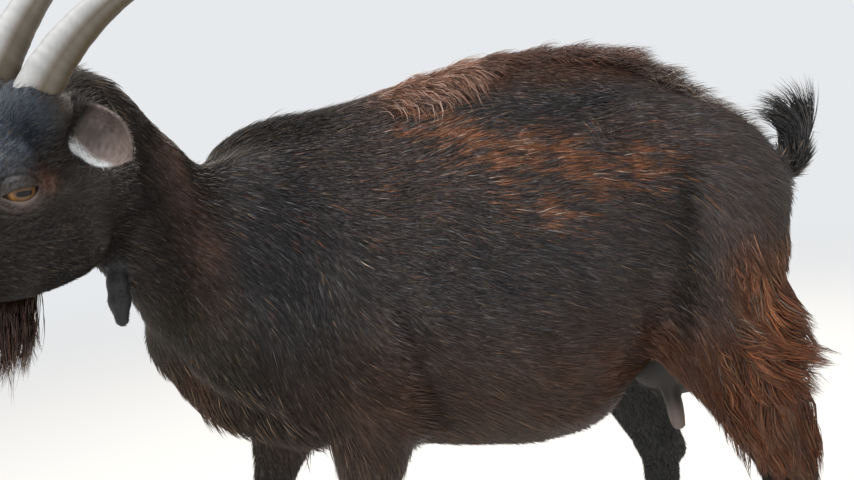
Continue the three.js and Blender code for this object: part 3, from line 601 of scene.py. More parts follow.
def make_mesh(name, points, faces, smooth=True):
    """A mesh piece from points in the goat's millimetres and an array of triangles or quads."""
    mesh = bpy.data.meshes.new(name)
    mesh.vertices.add(len(points))
    mesh.vertices.foreach_set("co", placed(points).astype(np.float32).ravel())
    mesh.loops.add(faces.size)
    mesh.loops.foreach_set("vertex_index", faces.astype(np.int32).ravel())
    mesh.polygons.add(len(faces))
    mesh.polygons.foreach_set("loop_start", np.arange(0, faces.size, faces.shape[1], dtype=np.int32))
    mesh.polygons.foreach_set("use_smooth", np.full(len(faces), smooth))
    mesh.update(calc_edges=True)
    made = bpy.data.objects.new(name, mesh)
    bpy.context.scene.collection.objects.link(made)
    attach(made, "root")
    return made


def skin_mesh():
    """The skin's points and triangles, from a grid that is closer round the head."""
    spans = (-470, 392, -470, -216, 2.0), (-404, 172, -404, -112, 2.0), (24, 690, 430, 690, 2.1)
    points, quads, size = surface_net(skin_field, [graded(*span) for span in spans])
    return refined(settle(skin_field, points, 0.48 * size), quads)


def wants_detail(points):
    """True round the eyes, on the muzzle and on the ears, where the skin's forms are small."""
    q = folded(to_head(points))
    eye = ((q - EYE_CENTRE) ** 2).sum(1) < 31**2
    ear = ((q - vec(11, 64, 35)) ** 2).sum(1) < 34**2
    return eye | ear | (q[:, 0] > 186)


def refined(points, quads):
    """The same closed mesh with the quads of the small forms split in four and drawn onto the field again."""
    mesh = bpy.data.meshes.new("net")
    mesh.from_pydata(points.tolist(), [], quads.tolist())
    bm = bmesh.new()
    bm.from_mesh(mesh)
    bm.verts.ensure_lookup_table()
    small = wants_detail(points)
    edges = [e for e in bm.edges if small[e.verts[0].index] and small[e.verts[1].index]]
    bmesh.ops.subdivide_edges(bm, edges=edges, cuts=1, use_grid_fill=True)
    bmesh.ops.triangulate(bm, faces=bm.faces)
    bm.to_mesh(mesh)
    bm.free()
    points = np.empty(len(mesh.vertices) * 3, np.float32)
    mesh.vertices.foreach_get("co", points)
    points = points.reshape(-1, 3)
    faces = np.empty(len(mesh.polygons) * 3, np.int32)
    mesh.polygons.foreach_get("vertices", faces)
    bpy.data.meshes.remove(mesh)
    small = wants_detail(points)
    points[small] = settle(skin_field, points[small], 1.6, 4)
    return points, faces.reshape(-1, 3)


# ---- coat pattern with painted sheen, sunlight and shade: linear colours, the same for skin and coat
BLACK_BROWN = vec(0.017, 0.0115, 0.0085)
FLANK_BROWN = vec(0.080, 0.063, 0.058)
RUST = vec(0.115, 0.043, 0.018)
# copper hair brightened by painted sunlight
SUNLIT_COPPER = vec(0.40, 0.155, 0.066)
GOLD = vec(0.27, 0.175, 0.105)
# pale grey of hairs that carry a painted sheen
GREY_SHEEN = vec(0.19, 0.19, 0.19)
# dark coat with a painted bluish sky sheen
SKY_SHEEN_BLACK = vec(0.033, 0.037, 0.043)
OLIVE = vec(0.05, 0.038, 0.018)
LEG_BLACK = vec(0.010, 0.0088, 0.008)
PINK_GREY = vec(0.20, 0.145, 0.125)
UDDER_GREY = vec(0.028, 0.023, 0.019)
WATTLE_GREY = vec(0.015, 0.014, 0.015)
NAPE_BROWN = vec(0.125, 0.072, 0.056)
# dark hair with a painted bluish sky sheen, for the forehead
FOREHEAD_SKY_SHEEN = vec(0.026, 0.034, 0.046)
EAR_WHITE = vec(0.44, 0.45, 0.45)
GLINT = vec(0.72, 0.58, 0.48)


def mix(colours, other, share):
    return colours + (other - colours) * np.clip(share, 0, 1)[:, None]


def far_thigh(points, low):
    """1 on the smooth black hind leg of the right side, whose upper end fades from z = 352 to low."""
    x, y, z = points.T
    return between(z, 352, low) * (y > 18) * between(x, 120, 150)


def layered(colours, layers):
    """Lays rows of colour and share over the colours, one after the other."""
    for other, share in layers:
        colours = mix(colours, other, share)
    return colours


def eye_and_ear_layers(points, q, s):
    """Colours and shares round one eye and on its ear; q is the points in the head's axes."""
    _, along, up, out = eye_places(q, s)
    t, across, off, _, _ = ear_places(q, s)
    lids = np.exp(-(np.hypot(along * 0.75, up + 4) / 12.5) ** 2) * (out > 0)
    inner = on_ear(t, across, off, 0.02, 1.1, 1.15, 7) * (off > 0) * between(t, 0.12, 0.30)
    # hollow: painted shade in the crease inside the ear
    hollow = 0.8 * inner * np.exp(-(((across - 0.25) / 0.4) ** 2)) * between(t, 0.65, 0.3)
    rim = between(across, 0.70, 0.9) * between(t, 0.9, 0.75)
    return [
        (BLACK_BROWN * 0.7, bump(q, (10, s * 38, 62), (20, 16, 18))),  # behind the horn
        (PINK_GREY, 0.8 * lids * between(up, 5, 0)),
        (RUST * 0.8, 0.8 * np.exp(-(((along + 24) / 9) ** 2 + (up / 10) ** 2)) * (out > -12)),
        (PINK_GREY * (0.50 + 0.16 * waves(points, 7, 41)[:, None]), inner),
        (PINK_GREY * (0.85 + 0.22 * waves(points, 5, 42)[:, None]), 0.8 * inner * between(t, 0.5, 0.85)),
        (PINK_GREY * 0.2, hollow),
        (EAR_WHITE, inner * rim),
    ]


def markings_and_painted_light(points):
    """The coat's colour at each point: its pattern, with painted sheen, sunlight and shade laid over it."""
    x, y, z = points.T
    q = to_head(points)
    u, _, v = q.T
    side = folded(points)
    patchy = waves(points, 46, 3)
    blotch = waves(points * vec(0.62, 1, 1), 40, 8)
    fine = waves(points, 17, 5)
    upper = bump(side, (110, 118, 548), (150, 80, 34))  # sunlit red band under the back
    lower = bump(side, (190, 120, 330), (120, 90, 66)) * (0.7 + 0.35 * patchy)  # flank fold and belly
    elbow = bump(side, (-60, 100, 330), (80, 80, 66)) * 0.35
    back = between(z - np.interp(x, [-190, -40, 90, 200, 300], [552, 572, 596, 588, 540]), -8, 10)
    rear = between(x, 236, 300) * between(z, 470, 400)
    thigh = between(x, 150, 215) * between(z, 400, 330) * (np.abs(y) > 30)
    neck = between(u, 0, -40) * between(x, -168, -206)
    throat = between(u, 0, -30) * between(z, 470, 400) * between(x, -150, -215)
    nape = (0.65 + 0.35 * blotch) * neck * ridge(points, (-222, -110, 574), (-190, -96, 436), 24)
    c = layered(np.tile(FLANK_BROWN, (len(points), 1)), [
        (FLANK_BROWN * 0.72, 0.6 * patchy),
        (RUST, 0.28 * upper * (0.7 + 0.4 * patchy) + 0.85 * lower + elbow),
        (vec(0.118, 0.094, 0.089), bump(side, (268, 90, 455), (46, 90, 84))),  # sheen of the rump
        (vec(0.125, 0.10, 0.095), 0.8 * bump(side, (240, 70, 548), (34, 60, 34))),  # and above it
        (SKY_SHEEN_BLACK, 0.8 * bump(side, (-140, 110, 470), (66, 90, 120))),  # painted bluish sky sheen on the dark coat of the shoulder
        # painted bluish sky sheen on the dark coat of the mid flank
        (SKY_SHEEN_BLACK * 1.15, 0.5 * bump(side, (50, 150, 440), (130, 90, 60)) * (0.8 + 0.3 * patchy)),
        (vec(0.042, 0.040, 0.041), 0.9 * bump(side, (125, 84, 578), (112, 60, 19))),  # painted shade in the hollow below the back
        (BLACK_BROWN, 0.95 * ridge(side, (228, 104, 516), (217, 112, 345), 13)),  # painted shade in the groove before the thigh
        (BLACK_BROWN * vec(1.5, 1.2, 0.9), 0.75 * bump(side, (-170, 70, 350), (90, 90, 66))),  # chest
        (BLACK_BROWN, 0.7 * ridge(side, (-24, 120, 398), (-10, 104, 306), 10)),  # painted shade in the fold behind the elbow
        (BLACK_BROWN, 0.75 * bump(side, (322, 30, 468), (24, 60, 52))),  # under the tail
        (BLACK_BROWN, back * between(x, -40, -110)),
        (RUST * 0.7, back * between(x, -70, -10) * (0.8 + 0.3 * patchy) * between(x, 330, 250)),
        (RUST * vec(1, 0.88, 0.72), np.maximum(rear, thigh) * (0.85 + 0.25 * patchy)),
        (RUST * 1.15, 0.8 * bump(side, (286, 90, 400), (26, 60, 52))),
        (BLACK_BROWN, neck),
        (OLIVE * 0.75, 0.8 * throat),
        (OLIVE * 1.7, 0.7 * throat * ridge(points, (-246, -40, 392), (-206, -40, 358), 10)),
        (NAPE_BROWN, nape),
        (RUST * 0.8, 0.7 * bump(points, (-226, -20, 350), (34, 50, 46))),  # brisket
    ])
    c = mix(c, c * vec(1.02, 0.87, 0.70), between(z, 410, 320) * between(x, 262, 222))  # warmer below
    c = mix(c, c * 0.72, bump(side, (-178, 60, 352), (60, 90, 60)))  # shade of the chest
    head = between(u, -34, 0)
    bag = mix(np.tile(UDDER_GREY, (len(points), 1)), PINK_GREY * 0.8, between(z, 285, 262))  # teats are paler
    c = layered(c, [
        (LEG_BLACK, between(z, 262, 200) * (np.abs(y) > 18)),
        (LEG_BLACK, far_thigh(points, 318)),
        (BLACK_BROWN, head),
        # painted bluish sky sheen on the forehead
        (FOREHEAD_SKY_SHEEN, head * between(v, 34, 58) * between(u, 175, 120) * between(u, 30, 52)),
        *eye_and_ear_layers(points, q, LEFT),
        *eye_and_ear_layers(points, q, RIGHT),
        (PINK_GREY * 0.5, head * between(u, 222, 240) * 0.6),  # nose
        (bag, between(udder_distance(points), 9, 3)),
        (WATTLE_GREY, between(wattle_distance(points), 7, 2)),
        (LEG_BLACK, between(x, 322, 334) * between(z, 480, 486)),  # tail
    ])
    return np.maximum(c * (1 + 0.10 * fine[:, None]), 0.003)


def sunlit_copper_share(points):
    """Share of copper hairs in the patches under the back, their red partly the coat's own and their
    brightness partly painted sunlight.
    """
    side = folded(points)
    patches = ridge(side, (-10, 62, 574), (74, 108, 538), 15)
    patches += 0.9 * ridge(side, (94, 98, 545), (154, 110, 509), 15)
    spots = 0.9 * bump(side, (190, 100, 514), (28, 60, 16)) + 0.7 * bump(side, (106, 140, 484), (26, 60, 13))
    patches += spots
    patches += 0.07 * bump(side, (80, 110, 520), (150, 90, 50))
    streaks = 0.45 + 0.65 * waves(points * vec(0.35, 1, 1), 13, 15)
    return np.clip(2.2 * patches * streaks, 0, 0.92)


def grey_sheen_share(points):
    """Share of pale grey hairs, a painted sheen, on the withers, shoulder and flank."""
    side = folded(points)
    flank = 0.05 * bump(side, (20, 130, 450), (180, 90, 80)) + 0.07 * bump(side, (262, 90, 450), (50, 90, 90))
    return 0.10 * bump(side, (-178, 80, 540), (40, 90, 40)) + flank


def udder_distance(points):
    """Distance to the udder and its teats."""
    d = udder_field(points)
    for (field, _, _), _ in teat_parts:
        d = np.minimum(d, field(points))
    return d


# ---- materials
def put(node, **values):
    """Sets a node's sockets; _ stands for the space in a socket's name."""
    for socket, value in values.items():
        node.inputs[socket.replace("_", " ")].default_value = value
    return node


def link(tree, *rows):
    """Links rows of node, output, node, input."""
    for a, out, b, into in rows:
        tree.links.new(a.outputs[out], b.inputs[into])


def material(name, roughness, bump_size=0, bump_height=0, **more):
    """A principled material that shows paint()'s colours, with a fine grain where that has a size."""
    made = bpy.data.materials.new(name)
    made.use_nodes = True
    nodes = made.node_tree.nodes
    shader = put(nodes["Principled BSDF"], Roughness=roughness, **more)
    tint = nodes.new("ShaderNodeAttribute")
    tint.attribute_name = "tint"
    link(made.node_tree, (tint, "Color", shader, "Base Color"))
    if bump_size:
        noise = put(nodes.new("ShaderNodeTexNoise"), Scale=1 / (bump_size * MM), Detail=3)
        height = put(nodes.new("ShaderNodeBump"), Strength=0.6, Distance=bump_height * MM)
        place = nodes.new("ShaderNodeTexCoord")
        link(made.node_tree, (place, "Object", noise, "Vector"), (noise, "Fac", height, "Height"),
             (height, "Normal", shader, "Normal"))
    return made


def paint(piece, colours, look):
    """Stores a linear colour for every vertex and gives the piece the material that shows it."""
    piece.data.materials.append(look)
    layer = piece.data.attributes.new("tint", "FLOAT_COLOR", "POINT")
    opaque = np.append(colours, np.ones((len(colours), 1)), 1)
    layer.data.foreach_set("color", opaque.astype(np.float32).ravel())


# ---- skin
skin_points, skin_faces = skin_mesh()
skin = make_mesh("skin", skin_points, skin_faces)
FLESH = ["head", "neck", "trunk", "tail", "udder", "wattle", "beard", "ear_left", "ear_right"]
FLESH += [f"{part}leg_{half}_{name}" for name in ("left", "right") for part in ("fore", "hind")
          for half in ("upper", "lower")]
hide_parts(*FLESH)
paint(skin, in_chunks(markings_and_painted_light, skin_points), material("skin", 0.62, 1.6, 0.5))


def normals_of(points, faces):
    a, b, c = (points[faces[:, n]] for n in range(3))
    across = np.cross(b - a, c - a)
    total = np.stack([sum(np.bincount(faces[:, n], across[:, axis], len(points)) for n in range(3))
                      for axis in range(3)], 1)
    return unit(total).astype(np.float32), np.linalg.norm(across, axis=1) / 2


skin_normals, face_areas = normals_of(skin_points, skin_faces)


# ---- lie, length and density of the coat
def lie_of(points):
    """The way the hair lies, before it is laid onto the surface."""
    x, y, z = points.T
    q = to_head(points)
    u, w, v = q.T
    front, rear = between(x, -20, -120), between(x, 190, 280)
    below = between(z, 600, 400)
    droop = np.radians(7 + 12 * below + front * 48 * between(z, 570, 420) + rear * 52 * between(z, 560, 430))
    droop += 0.16 * waves(points, 120, 11) + 0.10 * waves(points, 45, 12)
    lie = np.stack([np.cos(droop), np.zeros_like(x), -np.sin(droop)], 1)
    lie[:, 1] += 0.5 * np.sign(y) * between(z, 560, 600) * between(np.abs(y), 4, 30)
    down = np.maximum(between(z, 330, 250), between(x, 170, 230) * between(z, 410, 330))
    lie = mix(lie, vec(0.22, 0, -1), down)
    neck = between(x, -150, -215) * between(u, 0, -50)
    lie = mix(lie, unit(vec(0.55, 0.5, -0.72)), neck)
    head = between(u, -50, 10)
    streams = np.tile(vec(-1, 0, 0.05), (len(points), 1))
    streams[:, 2] -= 0.75 * between(v, 10, -40) * between(u, 210, 120)  # cheeks
    streams[:, 2] += 0.45 * between(v, 35, 60) * between(u, 130, 60)  # forehead
    streams[:, 1] += 0.3 * np.sign(w) * between(np.abs(w), 6, 30)
    lie = mix(lie, streams @ HEAD_AXES, head)
    for s in SIDES:
        _, along, down_ear, _, _ = ear_axes(s)
        t, across, off, _, _ = ear_places(q, s)
        fan = along[None] + 0.55 * across[:, None] * down_ear
        lie = mix(lie, fan @ HEAD_AXES, between(t, -0.05, 0.2) * on_ear(t, across, off, -1, 1.3, 1.3, 9))
    dock = between(x, 320, 340) * between(z, 474, 486)
    return unit(mix(lie, vec(0.35, 0, 1), dock) + 1e-6)


POLL = (-24, 0, 66), (26, 34, 30)  # centre and radii of the tuft between the horns, in the head's axes


def hair_length(points):
    """Length of the short coat in millimetres."""
    x, _, z = points.T
    q = to_head(points)
    u, _, v = q.T
    length = 21 + 4 * between(z, 380, 280) + 2 * waves(points, 90, 21)
    neck, upper_legs, lower_legs = between(x, -150, -230), between(z, 300, 220), between(z, 200, 120)
    for short, share in ((15, neck), (12.5, upper_legs), (8, lower_legs)):
        length = length + (short - length) * share
    head = between(u, -30, 20)
    face = 8.5 - 4.2 * between(u, 120, 220) + 1.5 * between(v, -20, -70)
    length = length + (face - length) * head
    for s in SIDES:
        _, along, up, out = eye_places(q, s)
        length = length - (length - 3.4) * np.exp(-(np.hypot(along, up) / 20) ** 4) * (out > 0)
        t, across, off, _, _ = ear_places(q, s)
        length = np.where(on_ear(t, across, off, 0.15, 1.3, 1.5, 9), 5.2, length)
    length = length + (7 - length) * far_thigh(points, 300)
    length = length + (4 - length) * between(wattle_distance(points), 7, 2)
    length = length + 11 * bump(q, *POLL)
    return length + (4 - length) * between(udder_distance(points), 14, 6)


def hair_density(points):
    """Tufts of short coat on a square millimetre."""
    z = points[:, 2]
    q = to_head(points)
    u = q[:, 0]
    density = 0.215 + 0.13 * between(z, 260, 180)
    head = between(u, -30, 10)
    density = density + (0.42 - density) * head + 0.10 * between(u, 150, 220)
    for s in SIDES:
        r, along, up, out = eye_places(q, s)
        density = density * between(lid_gap(along, up), 0.6, 2.2) ** ((r < 24) & (out > 0))
        t, across, off, _, _ = ear_places(q, s)
        density = np.where(on_ear(t, across, off, 0.1, 0.95, 0.75, 7) & (off > 0), 0.008, density)
        from_base, axis = q - HORN_ROOT * vec(1, s, 1), unit(vec(-0.77, s * 0.05, 0.64))
        off_horn = np.linalg.norm(np.cross(from_base, axis), axis=1) > HORN_CLEAR
        density = density * (off_horn | (from_base @ axis < -8))
    density = density * (1 - between(u, 236, 243)) * (z > 36)  # none on the nose and the claws
    return density * between(udder_distance(points), 3, 8)


# ---- map for baking: an unwrap of the body by its parts
def unwrap(points):
    """A place in the unit square for each point: every part of the body is rolled out in its own oblong."""
    x, y, z = points.T
    q = to_head(points)
    u, w, v = q.T
    place = np.empty((len(points), 2), np.float32)

    def lay(chosen, s, t, box):
        left, low, right, high = box
        place[chosen, 0] = (left + (right - left) * np.clip(s, 0, 1))[chosen]
        place[chosen, 1] = (low + (high - low) * np.clip(t, 0, 1))[chosen]

    round_trunk = np.arctan2(np.abs(y), z - 430) / math.pi
    lay(y < 0, (x + 250) / 600, round_trunk, (0.01, 0.51, 0.60, 0.99))
    lay(y >= 0, (x + 250) / 600, round_trunk, (0.01, 0.01, 0.60, 0.49))
    legs = [(LEFT, -260, 60, -80), (LEFT, 150, 420, 300), (RIGHT, -260, 60, -135), (RIGHT, 150, 420, 215)]
    for n, (side, lo, hi, centre) in enumerate(legs):
        leg = (z < 330) & (side * y > 12) & (x > lo) & (x <= hi)
        turn = (np.arctan2(np.abs(y) - 70, x - centre) / math.pi + 1) / 2
        lay(leg, turn, z / 330, (0.62 + 0.095 * n, 0.01, 0.705 + 0.095 * n, 0.36))
    neck = (u < -8) & (x < -190) & (z > 330)
    aside = (points - vec(-240, -70, 500)) @ unit(vec(*NECK_SIDE))
    turn = (np.arctan2(aside, z - 500 + 0.6 * (x + 240)) / math.pi + 1) / 2
    lay(neck, turn, (y + 190) / 320, (0.62, 0.38, 0.99, 0.60))
    head = u >= -8
    lay(head, (np.arctan2(w, v + 12) / math.pi + 1) / 2, (u + 10) / 270, (0.62, 0.62, 0.90, 0.99))
    for n, s in enumerate(SIDES):
        t, across, off, _, _ = ear_places(q, s)
        ear = head & on_ear(t, across, off, 0.05, 1.2, 1.4, 9)
        lay(ear, (across + 1.4) / 5.6 + 0.5 * (off > 0), t, (0.91, 0.62 + 0.19 * n, 0.99, 0.79 + 0.19 * n))
    return place


# ---- tufts
def scatter(density, seed):
    """Roots drawn over the skin: places, normals. density is tufts on a square millimetre at each vertex."""
    rng = np.random.default_rng(seed)
    expected = (face_areas * density[skin_faces].mean(1) * COAT_SHARE).cumsum()
    count = int(expected[-1])
    picks = np.searchsorted(expected, np.arange(count) + rng.random(count))
    corners = skin_faces[np.minimum(picks, len(skin_faces) - 1)]
    r, s = np.sqrt(rng.random(count)), rng.random(count)
    weights = np.stack([1 - r, r * (1 - s), r * s], 1).astype(np.float32)
    roots = sum(skin_points[corners[:, n]] * weights[:, n:n + 1] for n in range(3))
    normals = unit(sum(skin_normals[corners[:, n]] * weights[:, n:n + 1] for n in range(3)))
    return roots, normals


def gather(ends, roots, cell, share, seed):
    """Draws the ends of neighbouring tufts together, as hair does in locks about cell wide."""
    rng = np.random.default_rng(seed)
    warped = roots + 0.35 * cell * np.stack([waves(roots, 3 * cell, seed + n) for n in range(3)], 1)
    keys = np.floor((warped + rng.normal(0, 0.12 * cell, roots.shape)) / cell).astype(np.int64)
    keys = keys @ np.array([1, 4001, 16008001], np.int64)
    _, group = np.unique(keys, return_inverse=True)
    group = group.ravel()
    size = np.bincount(group)
    middle = np.stack([np.bincount(group, (ends - roots)[:, n]) / size for n in range(3)], 1)[group]
    centre = np.stack([np.bincount(group, roots[:, n]) / size for n in range(3)], 1)[group]
    return ends + share * (centre + middle - ends)


HALF_PATCH = 0.0015  # half the side of a tuft's patch on the map
ROOT_SHADE, TIP_LIGHT = 0.66, 1.3  # brightness of a tuft's root and tip over that of the marking
SHORT_ROOT, LONG_ROOT = 0.5, 0.8  # how deep tufts start in the skin


def tuft_mesh(name, path, normals, width, thick, tint_root, tint_tip, look):
    """One piece of closed, tapered, three-sided tufts; path is (tufts, steps + 1, 3) from root to tip."""
    count, steps = path.shape[0], path.shape[1] - 1
    rings = []
    for n in range(steps):
        along = unit(path[:, n + 1] - path[:, max(n - 1, 0)])
        across = unit(np.cross(normals, along))
        above = np.cross(along, across)
        share = (1 - (n / steps) ** 1.6) * (0.75 if n == 0 and steps > 2 else 1.0)
        w = (width * share)[:, None]
        rings.append(path[:, n] - across * w / 2 - above * w * thick * 0.35)
        rings.append(path[:, n] + across * w / 2 - above * w * thick * 0.35)
        rings.append(path[:, n] + above * w * thick * 0.65)
    rings.append(path[:, steps])
    points = np.stack(rings, 1)
    per = points.shape[1]
    faces = [(0, 1, 2)]
    for n in range(steps - 1):
        for a, b in ((0, 1), (1, 2), (2, 0)):
            lo, hi = 3 * n, 3 * n + 3
            faces += [(lo + a, hi + a, hi + b), (lo + a, hi + b, lo + b)]
    last = 3 * (steps - 1)
    faces += [(last + a, per - 1, last + b) for a, b in ((0, 1), (1, 2), (2, 0))]
    faces = np.array(faces, np.int32)[None] + (np.arange(count, dtype=np.int32) * per)[:, None, None]
    piece = make_mesh(name, points.reshape(-1, 3), faces.reshape(-1, 3))
    ramp = np.array([min(n // 3, steps) / steps for n in range(per - 1)] + [1.0], np.float32)[None, :, None]
    paint(piece, (tint_root[:, None] * (1 - ramp) + tint_tip[:, None] * ramp).reshape(-1, 3), look)
    local = [(n % 3 - 1, 2 * min(n // 3, steps) / steps - 1) for n in range(per - 1)] + [(0, 1)]
    spots = unwrap(path[:, 0])[:, None] + HALF_PATCH * np.array(local, np.float32)[None]
    layer = piece.data.uv_layers.new(name="OFBake")
    layer.data.foreach_set("uv", spots.reshape(-1, 2)[faces.ravel()].astype(np.float32).ravel())


def picked(rng, chance, low, high=1):
    """How strongly each tuft takes another colour: 0, or low to high with the given chance."""
    return (rng.random(len(chance)) < chance) * rng.uniform(low, high, len(chance))


def tints(roots, seed, spread=0.32, light=0.025, light_tint=GOLD):
    """Root and tip colours: the markings, varied from tuft to tuft, with some light hairs among the dark."""
    rng = np.random.default_rng(seed)
    base = in_chunks(markings_and_painted_light, roots)
    red = between(base[:, 0] - base[:, 2], 0.03, 0.12)
    base = base * np.exp(rng.normal(0, spread, (len(roots), 1)))
    warm = rng.normal(0, 0.10, len(roots))
    base = base * (1 + warm[:, None] * vec(0.8, 0.1, -0.6))
    base = mix(base, light_tint, picked(rng, light * (1 + 1.5 * red), 0.4))
    # copper hairs: the coat's red with painted sunlight
    copper = picked(rng, sunlit_copper_share(roots), 0.3, 1.1)
    base = mix(base, SUNLIT_COPPER, copper)
    # a few copper hairs take painted glints
    base = mix(base, GLINT, picked(rng, 0.07 * (copper > 0), 0.4))
    # some hairs take a painted grey sheen
    base = mix(base, GREY_SHEEN, picked(rng, grey_sheen_share(roots), 0.3))
    return base * ROOT_SHADE, base * TIP_LIGHT


def stray(directions, normals, angle, rng):
    """Directions turned in the surface by a normal spread of angle."""
    turn = rng.normal(0, angle, len(directions))[:, None]
    return directions * np.cos(turn) + np.cross(normals, directions) * np.sin(turn)


def lay_down(lie, normals):
    return unit(lie - (lie * normals).sum(1)[:, None] * normals)


TUFT_TRIANGLES, PIECE_TRIANGLES = 4, 190000  # of a short tuft, and the most for one piece
COAT_LOOK = material("coat", 0.40, Specular_IOR_Level=0.55)


def short_coat():
    """Straight short tufts over the whole body, each piece under the limit on triangles."""
    roots, normals = scatter(hair_density(skin_points), 31)
    rng = np.random.default_rng(32)
    along = stray(lay_down(in_chunks(lie_of, roots), normals), normals, 0.13, rng)
    length = in_chunks(hair_length, roots) * rng.uniform(0.72, 1.18, len(roots))
    ends = gather(roots + along * length[:, None], roots, 8, 0.30, 33)
    poll = bump(to_head(roots), *POLL)
    dock = between(roots[:, 0], 322, 336) * between(roots[:, 2], 474, 484)
    height = length * (rng.uniform(0.08, 0.24, len(roots)) + 0.25 * poll + 0.30 * dock) + 0.25
    ends = ends + normals * (height - in_chunks(skin_field, ends.astype(np.float32)))[:, None]
    tips = roots + unit(ends - roots) * length[:, None]
    width = np.clip(0.064 * length + 0.22, 0.56, 1.5) * rng.uniform(0.8, 1.2, len(roots))
    sunk = roots - normals * SHORT_ROOT
    dark, light = tints(roots, 34)
    order = np.argsort(roots[:, 0] + 2000 * (roots[:, 1] > 0), kind="stable")
    shares = math.ceil(len(order) * TUFT_TRIANGLES / PIECE_TRIANGLES)
    for n, chosen in enumerate(np.array_split(order, shares)):
        path = np.stack([sunk[chosen], tips[chosen]], 1)
        tuft_mesh(f"coat_short_{n + 1}", path, normals[chosen], width[chosen], 0.5,
                  dark[chosen], light[chosen], COAT_LOOK)


short_coat()


# ---- long hair
def strands(roots, normals, first, last, length, steps, wave, lock, seed, hold=0.55, low=1.5):
    """Paths that leave along first, turn towards last, wave together and end in locks about lock wide."""
    rng = np.random.default_rng(seed)
    across = unit(np.cross(last, normals) + 1e-6)
    phase = 2.2 * waves(roots, 70, seed + 1) + rng.normal(0, 0.3, len(roots))
    point = roots - normals * LONG_ROOT
    path = [point]
    for n in range(1, steps + 1):
        t = n / steps
        way = unit(first * (1 - t) ** 1.2 + last * (1 - (1 - t) ** 1.2))
        way = way + across * (wave * np.cos(phase + 4.5 * t))[:, None]
        point = point + unit(way) * (length / steps)[:, None]
        gap = in_chunks(skin_field, point.astype(np.float32))
        point = point + normals * np.maximum(low * t - gap, 0)[:, None]
        path.append(point)
    drawn = gather(path[-1], roots, lock, hold, seed + 2) - path[-1]
    return np.stack([p + drawn * (n / steps) ** 1.6 for n, p in enumerate(path)], 1).astype(np.float32)


def long_coat(name, density, ways, length, width, seed, slot="coat", steps=4, wave=0.12, lock=13, hold=0.55,
              low=1.5, light=0.05, light_tint=GOLD, retint=None):
    """One piece of long tufts where density, on the skin's vertices, says. ways and length read the roots."""
    roots, normals = scatter(density, seed)
    rng = np.random.default_rng(seed + 5)
    first, last = ways(roots, normals, rng)
    size = length(roots) * rng.uniform(0.7, 1.12, len(roots))
    path = strands(roots, normals, first, last, size, steps, wave, lock, seed + 7, hold, low)
    dark, bright = tints(roots, seed + 9, 0.26, light, light_tint)
    if retint is not None:
        dark, bright = retint(roots, dark, bright, rng)
    widths = width * rng.uniform(0.75, 1.25, len(roots))
    tuft_mesh(name, path, normals, widths, 0.45, dark, bright, LONG_LOOK)


LONG_LOOK = material("long_coat", 0.42, Specular_IOR_Level=0.5)


def crest_density():
    x, y, z = skin_points.T
    wide = np.interp(x, [-215, -150, -50, -10, 45, 75, 180, 205, 240, 268, 330],
                     [40, 26, 30, 54, 52, 32, 32, 38, 40, 62, 46])
    top = between(skin_normals[:, 2], 0.05, 0.3) * between(np.abs(y), wide, 0.5 * wide) * (z > 455)
    fine = 0.5 + 0.9 * between(x, -90, -10) * between(x, 300, 230)
    many = 0.29 - 0.13 * between(x, 60, 110)
    return many * fine * top * between(x, -226, -206) * between(x, 332, 322)


def crest_ways(roots, normals, rng):
    """Stands along the middle of the back and falls to both sides; streams back at the withers and rump."""
    x, y = roots[:, 0], roots[:, 1]
    rise = between(x, -100, -10) * between(x, 300, 240)
    wisp = between(x, 165, 190) * between(x, 262, 245) * (rng.random(len(x)) < 0.5)
    aside = y + rng.normal(0, 6, len(y))
    spread, fall = np.tanh(aside / 9), between(np.abs(aside), 5, 24) * rise
    withers = between(x, -90, -160)
    lift = 0.30 + 0.40 * withers + rise * (1.05 - 0.55 * fall) + rng.normal(0, 0.16, len(x))
    first = np.stack([0.75 - 0.2 * rise, 0.28 * spread, lift], 1)
    steep = fall * between(x, 80, 40)
    last = np.stack([0.85 - 0.3 * fall - 0.25 * steep, (0.25 + 0.45 * rise) * spread,
                     0.02 + 0.16 * withers - 0.12 * rise - 0.85 * fall - 0.3 * steep], 1)
    last = last + rng.normal(0, 0.16, last.shape)
    croup = between(x, 258, 292)  # hangs off the croup towards the tail
    first = mix(first, np.stack([0.7 + 0 * y, 0.5 * np.tanh(y / 30), 0.6 + 0 * y], 1), croup)
    last = mix(last, vec(0.95, 0, -0.05), croup)
    first = mix(first, vec(0.8, 0, 0.62), wisp)
    last = mix(last, vec(1, 0, 0.16), wisp)
    return unit(first), unit(last)


def crest_length(roots):
    """Long at the shoulders' end of the back, with locks of uneven length along its lower border."""
    x = roots[:, 0]
    fall = np.interp(x, [-200, -120, -60, -10, 37, 58, 82, 130, 160, 190, 212, 250, 300],
                     [30, 26, 25, 40, 50, 42, 33, 33, 34, 40, 28, 28, 30])
    return fall * (1 + (0.22 + 0.2 * between(x, 190, 240)) * waves(roots, 20, 55))


